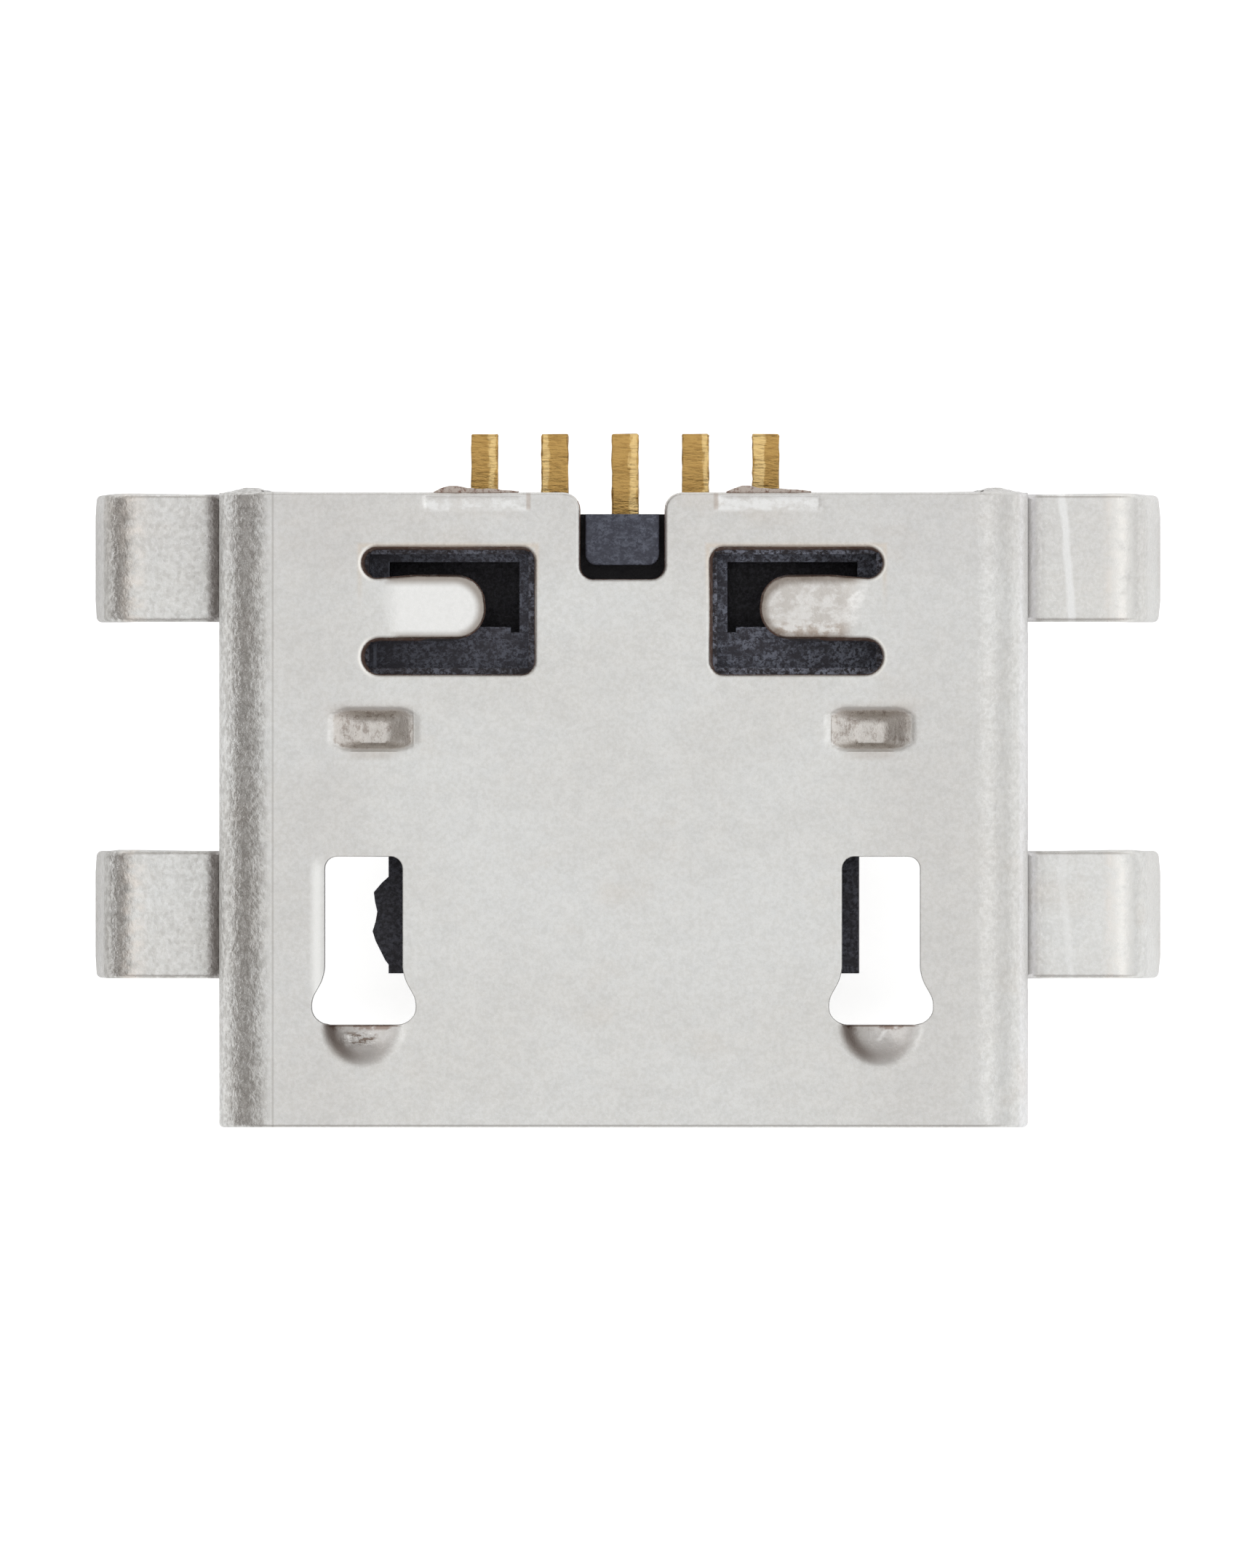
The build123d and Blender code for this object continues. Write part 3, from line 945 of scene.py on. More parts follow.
def contact_strip(s, shell, body, number, clearance, name):
    """One contact bent to its shape, or with clearance the channel that it needs."""
    top = shell.opening_height / 2 + shell.sheet
    middle = contact_middles(s)[number]
    front = body.tongue_setback + s.setback + (0 if number in (0, 4) else s.outer_lead)
    tongue_bottom = shell.opening_height / 2 - body.tongue_gap - body.tongue_thickness
    level = tongue_bottom - s.proud + s.thickness / 2
    tail = shell.board_sink - top + s.thickness / 2
    turn = math.atan2(level - tail, s.jog_length)
    radius = s.bend + s.thickness / 2
    tangent = radius * math.tan(turn / 2)
    start = front - clearance
    half = s.width / 2 + clearance
    strip = flat_blank(name, (middle - half, start), (middle + half, s.jog_place - tangent))
    select_all()
    move(z=level)
    pick(strip, lambda c: c.y > s.jog_place - tangent - NEAR, "EDGE")
    centre = (middle, s.jog_place - tangent, level - radius)
    bpy.ops.mesh.spin(steps=6, angle=turn, center=centre, axis=(1, 0, 0))
    run = math.hypot(s.jog_length, level - tail) - 2 * tangent
    draw_edges(run * math.cos(turn), -run * math.sin(turn))
    centre = (middle, s.jog_place + s.jog_length + tangent, tail + radius)
    bpy.ops.mesh.spin(steps=6, angle=-turn, center=centre, axis=(1, 0, 0))
    rest = shell.depth + s.tail_reach - (s.jog_place + s.jog_length + tangent)
    draw_edges(rest)
    tidy_normals(strip)
    take(strip)
    thickness = s.thickness + 2 * clearance
    apply(strip, "SOLIDIFY", thickness=thickness, offset=0, use_even_offset=True)
    return strip


class HousingSizes(PropertyGroup):
    """Sizes of the moulded housing."""

    fit: length("Fit", 0.02, "Gap between housing and shell")
    block_front: length("Block front", 3.95, "From the mouth to the rear block")
    block_edge: length("Block edge", 0.08, "Chamfer of the block")
    inset: length("Inset", 0.20, "From the block's rear to the shell's rear edge")
    tongue_width: length("Tongue width", 4.34, "Width of the tongue")
    tongue_tip_width: length("Tip width", 3.70, "Width of the tongue's tip")
    tongue_tip_length: length("Tip length", 0.65, "Length of the tip")
    tongue_tip_corner: length("Tip corner", 0.20, "Corners of the tip")
    tongue_gap: length("Tongue gap", 0.375, "From the wide face to the tongue")
    tongue_thickness: length("Tongue thickness", 0.60, "Thickness of the tongue")
    tongue_setback: length("Tongue setback", 0.77, "From the mouth to the tongue")
    tongue_chamfer: length("Tongue chamfer", 0.12, "Chamfer of the tongue's tip")
    ledge_margin: length("Ledge margin", 0.06, "Rim of plastic seen in a finger cut")
    ledge_depth: length("Ledge depth", 0.32, "Depth of the recess for a finger")
    pocket_inner: length("Pocket start", 0.96, "From the middle to a pocket")
    pocket_width: length("Pocket width", 1.20, "Width of a pocket")
    pocket_front: length("Pocket front", 4.57, "From the mouth to a pocket")
    pocket_length: length("Pocket length", 0.65, "Length of a pocket")
    pocket_depth: length("Pocket depth", 0.70, "Depth of a pocket")
    key_gap: length("Key gap", 0.05, "Gap on each side of the key")
    key_step: length("Key step", 0.13, "Gap in front of the key")
    key_drop: length("Key drop", 0.06, "From the key's top to the shell's")
    key_corner: length("Key corner", 0.10, "Corners of the key")
    edge: length("Edge", 0.02, "Rounding that the mould gives the visible edges")


class ContactSizes(PropertyGroup):
    """Sizes of the contacts."""

    pitch: length("Pitch", 0.65, "From one contact to the next")
    width: length("Width", 0.25, "Width of a contact")
    thickness: length("Thickness", 0.15, "Thickness of a contact")
    proud: length("Proud", 0.05, "How far a contact stands out of the tongue")
    setback: length("Setback", 0.30, "From the tongue's tip to the first contacts")
    outer_lead: length("Outer lead", 0.30, "How much earlier the outer contacts start")
    bend: length("Bend", 0.15, "Inside radius of a contact's bends")
    jog_place: length("Jog", 4.60, "From the mouth to the step of a contact")
    jog_length: length("Jog length", 0.30, "Length of that step")
    tail_reach: length("Tail reach", 0.57, "How far a tail stands out behind the shell")
    fit: length("Fit", 0.015, "Gap round a contact in the housing")
    edge: length("Edge", 0.018, "Rounding of a contact's edges")


class FinishTones(PropertyGroup):
    """Colours and finishes."""

    steel: tone("Steel", 0.695, 0.688, 0.668, "Satin stainless steel")
    steel_cool: tone("Cool steel", 0.720, 0.720, 0.706, "Paler patches of the steel")
    steel_warm: tone("Warm steel", 0.670, 0.640, 0.600, "Warmer patches of the steel")
    # Dark brown of the cut edges: partly the torn metal's own dull colour, partly painted shade on
    # the walls.
    sheared_and_shade: tone("Sheared edge", 0.210, 0.125, 0.095, "Cut edges of the sheet")
    stub: tone("Stub", 0.480, 0.415, 0.370, "Torn metal of the stubs")
    steel_rough: share("Steel roughness", 0.30, "How matt the steel is")
    # Painted shade and light: these tones of one black nylon go by height, darkest deep in the
    # pockets, darker under the sheet, paler on the high ledges and on the key.
    plastic: tone("Plastic", 0.006, 0.005, 0.008, "Black nylon deep in the pockets")
    plastic_roof_shade: tone("Roof", 0.028, 0.024, 0.029, "Black nylon close under the sheet")
    plastic_lit_and_speckle: tone("Ledges", 0.055, 0.053, 0.068, "Black nylon where it stands high")
    plastic_key_lit: tone("Key", 0.028, 0.032, 0.050, "Black nylon of the key boss")
    # Scuffs, and also the pale colour of the painted highlights on small ridges.
    plastic_scuff_and_highlight: tone("Scuffs", 0.280, 0.300, 0.370, "Paler scuffs of the plastic")
    gold: tone("Gold", 0.540, 0.335, 0.110, "Plating of the contacts")
    gold_pale: tone("Pale gold", 0.850, 0.610, 0.265, "Paler strips of the plating")


class StageSizes(PropertyGroup):
    """The studio."""

    camera_away: length("Camera distance", 400.0, "From the camera to the mouth's middle")
    camera_tilt: angle("Camera tilt", 1.05, "How far the camera leans over to +X")
    view_height: length("View height", 14.505, "Height of the picture in the object's plane")
    view_x: length("View across", 0.027, "Middle of the picture, across")
    view_y: length("View along", 3.17, "Middle of the picture, from the mouth")
    daylight: share("Daylight", 1.0, "Strength of the light from all round", 10.0)
    left_low: tone("Left wall", 0.30, 0.275, 0.26, "What the metal sees low on the left")
    left_high: tone("Left upper wall", 0.76, 0.75, 0.74, "What it sees higher on the left")
    right_panel: share("Right panel", 1.22, "Brightness of what it sees on the right", 2.0)
    right_wall: tone("Right wall", 0.94, 0.94, 0.94, "What it sees low on the right")
    front_wall: tone("Front wall", 0.56, 0.54, 0.53, "What it sees in front")
    rear_wall: tone("Rear wall", 0.62, 0.60, 0.58, "What it sees behind")


def node(tree, kind, inputs=None, **settings):
    """A new node with these settings, its inputs fed with numbers, colours or flows."""
    made = tree.nodes.new("ShaderNode" + kind)
    for name, value in settings.items():
        setattr(made, name, value)
    for name, value in (inputs or {}).items():
        socket = made.inputs[name]
        if isinstance(value, Flow):
            tree.links.new(value.socket, socket)
        elif socket.type == "RGBA":
            socket.default_value = (*value, 1.0)
        else:
            socket.default_value = value
    return made


def flow(tree, kind, inputs=None, output=0, **settings):
    """What comes out of a new node."""
    return Flow(tree, node(tree, kind, inputs, **settings).outputs[output])


class Flow:
    """A number, colour or place that a node gives. Arithmetic on it adds more nodes."""

    def __init__(self, tree, socket):
        self.tree = tree
        self.socket = socket

    def reckon(self, operation, *values):
        return flow(self.tree, "Math", dict(enumerate(values)), operation=operation)

    def __abs__(self):
        return self.reckon("ABSOLUTE", self)

    def __add__(self, other):
        return self.reckon("ADD", self, other)

    def __sub__(self, other):
        return self.reckon("SUBTRACT", self, other)

    def __rsub__(self, other):
        return self.reckon("SUBTRACT", other, self)

    def __mul__(self, other):
        return self.reckon("MULTIPLY", self, other)

    def __mod__(self, other):
        return self.reckon("MODULO", self, other)

    def most(self, other):
        """The greater of two values."""
        return self.reckon("MAXIMUM", self, other)

    def times_plus(self, factor, rest):
        """The value times a factor, plus the rest."""
        return self.reckon("MULTIPLY_ADD", self, factor, rest)

    def ranged(self, low, high, to_low, to_high):
        """The value brought from one range to another, smoothly."""
        inputs = dict(enumerate((self, low, high, to_low, to_high)))
        return flow(self.tree, "MapRange", inputs, interpolation_type="SMOOTHSTEP")

    def rise(self, low, high):
        """Nought below a range and one above it."""
        return self.ranged(low, high, 0.0, 1.0)

    def fall(self, low, high):
        """One below a range and nought above it."""
        return self.ranged(low, high, 1.0, 0.0)

    def band(self, low, high, soft=0.02):
        """One between two limits and nought outside them, with soft ends."""
        return self.rise(low - soft, low + soft) * self.fall(high - soft, high + soft)


def blend(tree, share_of, first, second, how="MIX"):
    """Two colours blended or multiplied by a share."""
    inputs = {0: share_of, 6: first, 7: second}
    return flow(tree, "Mix", inputs, 2, data_type="RGBA", blend_type=how)


def distance(across, along):
    """How far two offsets lead together."""
    offset = flow(across.tree, "CombineXYZ", {0: across, 1: along})
    return flow(across.tree, "VectorMath", {0: offset}, "Value", operation="LENGTH")


class Finish:
    """A new material. Its pattern is in millimetres and its colour is laid on in coats."""

    def __init__(self, name, metal, rough, base):
        self.material = bpy.data.materials.new(name)
        self.material.use_nodes = True
        self.tree = self.material.node_tree
        self.shader = self.tree.nodes["Principled BSDF"]
        self.shader.inputs["Metallic"].default_value = metal
        self.shader.inputs["Roughness"].default_value = rough
        self.base = base
        metres = flow(self.tree, "TexCoord", None, "Object")
        scale = {0: metres, "Scale": 1 / MM}
        self.place = flow(self.tree, "VectorMath", scale, operation="SCALE")
        parts = node(self.tree, "SeparateXYZ", {0: self.place}).outputs
        self.x, self.y, self.z = (Flow(self.tree, part) for part in parts)

    def grain(self, fineness, detail=3.0, roughness=0.55):
        """Noise with its own fineness along each axis, in grains per millimetre."""
        stretch = {0: self.place, 1: fineness}
        noise = {
            "Vector": flow(self.tree, "VectorMath", stretch, operation="MULTIPLY"),
            "Scale": 1.0,
            "Detail": detail,
            "Roughness": roughness,
        }
        return flow(self.tree, "TexNoise", noise, "Fac")

    def coat(self, share_of, colour, how="MIX"):
        """Lay a colour over what is there by a share."""
        self.base = blend(self.tree, share_of, self.base, colour, how)

    def stain(self, share_of, colour):
        """Multiply what is there by a colour, by a share."""
        self.coat(share_of, colour, "MULTIPLY")

    def finished(self, height, depth, rough=None):
        """The material with its colour, its relief with a depth in millimetres, and its sheen."""
        bump = {"Strength": 1.0, "Distance": depth * MM, "Height": height}
        ends = {"Base Color": self.base, "Normal": flow(self.tree, "Bump", bump, "Normal")}
        if rough:
            ends["Roughness"] = rough
        for name, value in ends.items():
            self.tree.links.new(value.socket, self.shader.inputs[name])
        return self.material


def satin_steel(tones, s):
    """Satin stainless steel: mottled on the flats, hammered along the bends, with painted light
    and shade on the shoulders, legs, fingers and lips.
    """
    finish = Finish("satin_steel", 1.0, tones.steel_rough, tones.steel)
    x, y, z = finish.x, finish.y, finish.z
    coat, stain, grain = finish.coat, finish.stain, finish.grain
    out = abs(x)
    left = x.fall(-3.3, -3.0)
    right = x.rise(-0.1, 0.1)
    fine = grain((26, 26, 26), 3.0, 0.7)
    coarse = grain((7, 9, 8), 4.0, 0.65)
    worm = grain((19, 15, 18), 3.0, 0.6)
    cloud = grain((0.5, 0.75, 0.8), 4.0)
    patches = grain((0.9, 1.5, 1.2), 5.0, 0.6)
    scratch = grain((15, 9, 12), 5.0, 0.8)
    strokes = grain((7, 21, 12), 4.0, 0.7)
    blotched = coarse.rise(0.40, 0.60)

    # Mottling all over, a little darker towards the rear and the sides.
    coat(cloud.rise(0.38, 0.64), tones.steel_cool)
    coat(patches.ranged(0.54, 0.76, 0.0, 0.6), tones.steel_warm)
    stain(coarse.rise(0.3, 0.72), (0.945, 0.95, 0.955))
    stain(fine.rise(0.36, 0.66), (0.93, 0.925, 0.915))
    stain(y.rise(4.9, 5.4), (0.968, 0.962, 0.962))
    stain(out.band(2.4, 3.3, 0.3), (0.960, 0.955, 0.955))

    # Shoulders, hollows, flats and knees of the legs: worm marks where they were drawn, darkened
    # further on the left as painted shade; painted shade in the hollows, on the left knees and in
    # a line where the left bend starts; painted highlights on the right hollow and the right
    # knees; leg flats a little brighter; a warm tinge and a drag mark.
    flat_leg = out.rise(3.84, 3.92) * out.fall(4.5, 4.62)
    bent = out.rise(3.20, 3.36) - flat_leg
    low = z.fall(0.15, 0.25)
    # Painted shade: the worm marks on the bends and the leg flats are made darker on the left,
    # where the metal faces away from the light.
    stain(bent * worm.rise(0.38, 0.62) * left.ranged(0, 1, 0.3, 1.0), (0.72, 0.71, 0.70))
    stain(flat_leg * left * worm.rise(0.46, 0.60) * low, (0.89, 0.885, 0.88))
    stain(flat_leg * low, (1.06, 1.06, 1.06))
    # Painted highlight: a pale, slightly blue band where the right side meets its hollow.
    stain(x.band(3.66, 3.80), (1.11, 1.11, 1.14))
    # Painted shade on the outer bend of the left knees.
    stain(x.band(-4.97, -4.76, 0.045), (0.74, 0.73, 0.72))
    # Painted shade in the hollows beside the walls, stronger on the left.
    hollow = out.band(3.70, 3.85, 0.03) * low * left.ranged(0, 1, 0.45, 1.0)
    stain(hollow, (0.62, 0.60, 0.60))
    warm = out.band(4.45, 4.66, 0.06) * coarse.rise(0.36, 0.66)
    coat(warm * low * 0.75, (0.82, 0.765, 0.71))
    # Painted highlight: a pale mottled band on the right knees.
    pale = x.band(4.49, 4.71, 0.03) * coarse.rise(0.25, 0.50) * low
    coat(pale * 0.6, (0.79, 0.785, 0.76))
    slanted = (y % 3.3).times_plus(0.076, x)
    wander = grain((1.2, 1.2, 1.2)).times_plus(0.15, slanted)
    drag = wander.band(4.28, 4.345, 0.018) * low * y.ranged(3.0, 4.0, 0.45, 1.0)
    coat(drag, (0.81, 0.81, 0.80))
    # Painted shade: a thin dark line where the left shoulder's bend starts.
    stain(x.band(-3.232, -3.214, 0.005), (0.80, 0.79, 0.78))

    # Dimples, pitted inside and shaded above and below.
    unmarked = finish.base
    wide_face = z.rise(0.65, 0.75)
    dimple = out.band(1.9, 2.68) * y.band(3.47, 3.88) * z.fall(1.17, 1.195)
    stain(dimple, (0.90, 0.86, 0.83))
    stain(dimple * scratch.rise(0.50, 0.62), (0.66, 0.62, 0.60))
    above = out.band(1.95, 2.7, 0.12) * y.band(3.80, 3.9, 0.07)
    below = out.band(2.1, 2.5, 0.1) * y.band(3.40, 3.48, 0.03)
    stain(above.most(below), (0.88, 0.85, 0.83))

    # Retention fingers in a tone of their own: the right one painted nearly white as a painted
    # highlight, blotched and browner at its front, and both with painted shade at the rim of their
    # round tips.
    along = y - (s.cut_front + s.front_arm + s.finger_width / 2)
    rim = distance((1.57 - out).most(0.0), along)
    slant = along.times_plus(-0.25, coarse.times_plus(0.3, out))
    finger = rim.fall(0.30, 0.31) * slant.fall(2.20, 2.38)
    coat(finger, (0.705, 0.703, 0.690))
    # Painted highlight: the right finger is painted nearly white.
    coat(finger * right, (0.96, 0.95, 0.93))
    stain(finger * right * blotched, (0.80, 0.78, 0.76))
    stain(finger * right * along.fall(-0.20, -0.09) * blotched, (0.78, 0.71, 0.66))
    # Painted shade at the rim of the round tips, which are bent over and face away from the light.
    stain(finger * rim.rise(0.19, 0.275), (0.44, 0.40, 0.37))

    # Borders of the finger cuts and the round ends of their arms.
    half_length = (s.front_arm + s.finger_width + s.rear_arm) / 2
    half_width = s.cut_width / 2
    past_x = abs(out - (s.cut_inner + half_width)) - half_width
    past_y = abs(y - (s.cut_front + half_length)) - half_length
    border = past_x.most(past_y).band(0.0, 0.04)
    stain(border * y.rise(4.7, 5.3), (1.0, 0.93, 0.86))
    for end_x, end_y, radius in ((2.237, 4.345, 0.165), (2.26, 5.21, 0.14)):
        away = distance((out - end_x).most(0.0), y - end_y)
        round_end = away.band(radius + 0.015, radius + 0.04, 0.012) * out.rise(end_x, 2.38)
        coat(round_end * 0.8, (0.84, 0.82, 0.78))

    # Lips, a little darker, with a painted shade crescent on the left where they rise, creases,
    # scratches and torn front edges, and a painted highlight beside the left slot.
    lip = z.rise(1.212, 1.26)
    lip_rim = distance(out - s.latch_spacing / 2, y - s.latch_front)
    to_left = (x + s.latch_spacing) % s.latch_spacing
    stain(lip, (0.86, 0.84, 0.835))
    # Painted shade: a dark crescent on the left of each lip, where its slope faces away from the
    # light.
    stain(lip_rim.band(0.25, 0.36, 0.05) * to_left.fall(2.135, 2.465), (0.55, 0.50, 0.48))
    crease = coarse.times_plus(0.16, y.times_plus(-0.6, x))
    folded = crease.band(1.955, 1.985) * y.band(0.80, 0.90) * lip
    coat(folded * 0.6, (0.90, 0.89, 0.88))
    stain(lip * y.rise(0.885, 0.92) * coarse.rise(0.48, 0.60), (0.55, 0.46, 0.42))
    centre = x.band(-2.57, -2.27, 0.04) * y.band(0.76, 0.88, 0.03)
    stain(centre * strokes.rise(0.50, 0.56), (0.42, 0.35, 0.31))
    coat(centre * strokes.ranged(0.36, 0.44, 0.7, 0.0), (0.95, 0.94, 0.92))
    stain(lip * y.rise(0.925, 0.94), (0.50, 0.42, 0.38))
    # Painted highlight: a pale band left of the left latch slot, where its edge would catch the
    # light.
    slot_edge_highlight = x.band(-2.86, -2.77, 0.04) * y.band(1.2, 2.45, 0.1)
    coat(slot_edge_highlight * 0.8, (0.86, 0.86, 0.84))

    # Coined marks before the stubs, each with a nick at its inner end.
    coined = out.band(0.85, 1.84) * y.band(5.69, 5.83)
    coat(coined * coarse.ranged(0.40, 0.60, 0.2, 1.0), (0.80, 0.80, 0.79))
    stain(out.band(0.845, 0.885, 0.012) * y.band(5.70, 5.85), (0.74, 0.68, 0.64))
    finish.base = blend(finish.tree, wide_face, unmarked, finish.base)

    hammered = flat_leg.times_plus(0.45, bent) * left.ranged(0, 1, 0.25, 1.0)
    scored = wide_face * (centre.most(dimple * 0.8) * 2.4)
    height = fine * hammered.times_plus(1.3, 0.5) + worm * (hammered * 2.6) + scratch * scored
    rough = fine.ranged(0.25, 0.75, tones.steel_rough - 0.05, tones.steel_rough + 0.07)
    return finish.finished(height, 0.0045, rough)


def sheared_shaded_steel(tones):
    """Torn face that the punch leaves on a cut edge, dark brown partly from the torn metal's own
    dull colour and partly as painted shade on the walls; paler on the stubs.
    """
    finish = Finish("sheared_shaded_steel", 0.45, 0.5, tones.sheared_and_shade)
    torn = finish.grain((24, 24, 8), 4.0, 0.7)
    finish.coat(torn.ranged(0.45, 0.8, 0.0, 0.6), tones.steel_warm)
    finish.coat(finish.y.rise(5.855, 5.865) * torn.rise(0.36, 0.52), tones.stub)
    return finish.finished(torn, 0.012)


def black_nylon(tones):
    """Black moulded plastic with a fine speckle; its tones by height are painted light and shade:
    darkest deep in the pockets and in the middle, darker close under the sheet, paler where it
    stands high and on the key; scuffed where it stands high, with painted highlights on small
    ridges.
    """
    finish = Finish("black_nylon", 0.0, 0.5, tones.plastic)
    finish.shader.inputs["Specular IOR Level"].default_value = 0.32
    x, y, z, coat = finish.x, finish.y, finish.z, finish.coat
    speckle = finish.grain((24, 24, 24), 4.0, 0.75)
    scuff = finish.grain((6, 9, 8), 6.0, 0.8)
    # Painted light on the high ledges and painted shade close under the sheet.
    ledge = z.rise(0.40, 0.58) * y.ranged(3.9, 4.1, 0.2, 1.0)
    roof = z.band(0.8, 1.0, 0.05)
    worn = scuff.rise(0.38, 0.58) * speckle.rise(0.42, 0.56) * x.ranged(-0.5, 0.9, 0.6, 1.0)
    coat(ledge, tones.plastic_lit_and_speckle)
    coat(speckle.ranged(0.42, 0.64, 0.0, 0.65), tones.plastic_lit_and_speckle)
    coat(roof, tones.plastic_roof_shade)
    coat(ledge * worn, tones.plastic_scuff_and_highlight)
    # Painted light: a paler, bluish top on the key boss.
    coat(z.ranged(1.0, 1.1, 0.0, 0.65), tones.plastic_key_lit)
    # Painted shade: the middle of the roof takes the darkest tone.
    coat(roof * abs(x).fall(0.5, 0.6), tones.plastic)
    # Painted highlights: pale lines on the left ledges for the lit edges of small ridges.
    for rib, low, high in ((-2.155, 4.97, 5.22), (-2.295, 4.25, 4.45)):
        ridge_highlight = x.band(rib - 0.015, rib + 0.015, 0.01) * y.band(low, high)
        coat(ridge_highlight * ledge * 0.7, tones.plastic_scuff_and_highlight)
    return finish.finished(speckle + scuff, 0.008, scuff.ranged(0.3, 0.7, 0.38, 0.62))


def gold_plating(tones):
    """Gold plating with fine marks across each strip and one paler line along it."""
    finish = Finish("gold_plating", 1.0, 0.3, tones.gold)
    marks = finish.grain((10, 42, 9), 3.0, 0.6)
    wavy = finish.grain((12, 7, 9), 4.0, 0.65)
    across = wavy.times_plus(0.12, finish.x)
    lines = ((-1.17, 0.03), (-0.68, 0.03), (0.14, 0.035), (0.80, 0.025), (1.30, 0.045))
    pale = [across.band(middle - half, middle + half, 0.012) for middle, half in lines]
    finish.coat(sum(pale[1:], pale[0]), tones.gold_pale)
    finish.stain(marks.ranged(0.46, 0.66, 0.0, 0.5), (0.62, 0.56, 0.52))
    return finish.finished(marks + wavy, 0.005)


def pick_sheared_faces(tube, s):
    """In edit mode, select the cut walls of the wide face."""
    top = s.opening_height / 2 + s.sheet
    take(tube)
    shape = open_up(tube, "FACE")
    for face in shape.faces:
        middle = face.calc_center_median()
        in_sheet = top - s.sheet < middle.z < top + s.lip_rise
        in_sheet = in_sheet and abs(middle.x) < s.opening_width / 2
        at_finger = s.cut_front - 0.1 < middle.y < s.depth - 0.3
        steep = 0.62 if at_finger or abs(middle.x) < s.notch_width / 2 + 0.02 else 0.0
        on_stub = middle.y > s.depth - 0.002 and abs(abs(middle.x) - s.stub_spacing / 2) < 0.4
        if in_sheet and middle.y > 0.1 and (on_stub or abs(face.normal.z) < steep):
            face.select = True
    bmesh.update_edit_mesh(tube.data)


def torn_flap(s, ledge):
    """Edge of torn plastic that hangs over the front of a pocket."""
    start = s.pocket_inner + 0.08
    front = s.pocket_front
    places = [start + 0.41 * number / 8 for number in range(1, 8)]
    low, high = (start, front - 0.05), (start + 0.41, front + 0.05)
    blank = flat_blank("flap", low, high, places, (front,))
    flap = prism(blank, ledge - 0.03, ledge + 0.012)
    pick(flap, lambda c: c.z > ledge or c.y > front + 0.01)
    bpy.ops.transform.vertex_random(offset=0.008, uniform=0.3, normal=0.0, seed=3)
    put_down()
    return flap


def torn_side(s):
    """Ragged plastic on the tongue's left flank, seen through a latch slot."""
    reach = (-0.04, 0.03, 0.075, 0.12, 0.148, 0.12, 0.105, 0.125, 0.137, 0.06, -0.04)
    edge = -s.tongue_width / 2
    places = [1.45 + 0.09 * number for number in range(len(reach))]
    low, high = (edge, places[0]), (edge + 0.08, places[-1])
    blank = flat_blank("torn_side", low, high, (), places[1:-1])
    for place, out in zip(places, reach):
        pick(blank, lambda c: abs(c.y - place) < NEAR and abs(c.x - edge) < NEAR)
        move(x=-out)
    bottom, top = 0.15, 0.545
    return prism(blank, bottom, top)


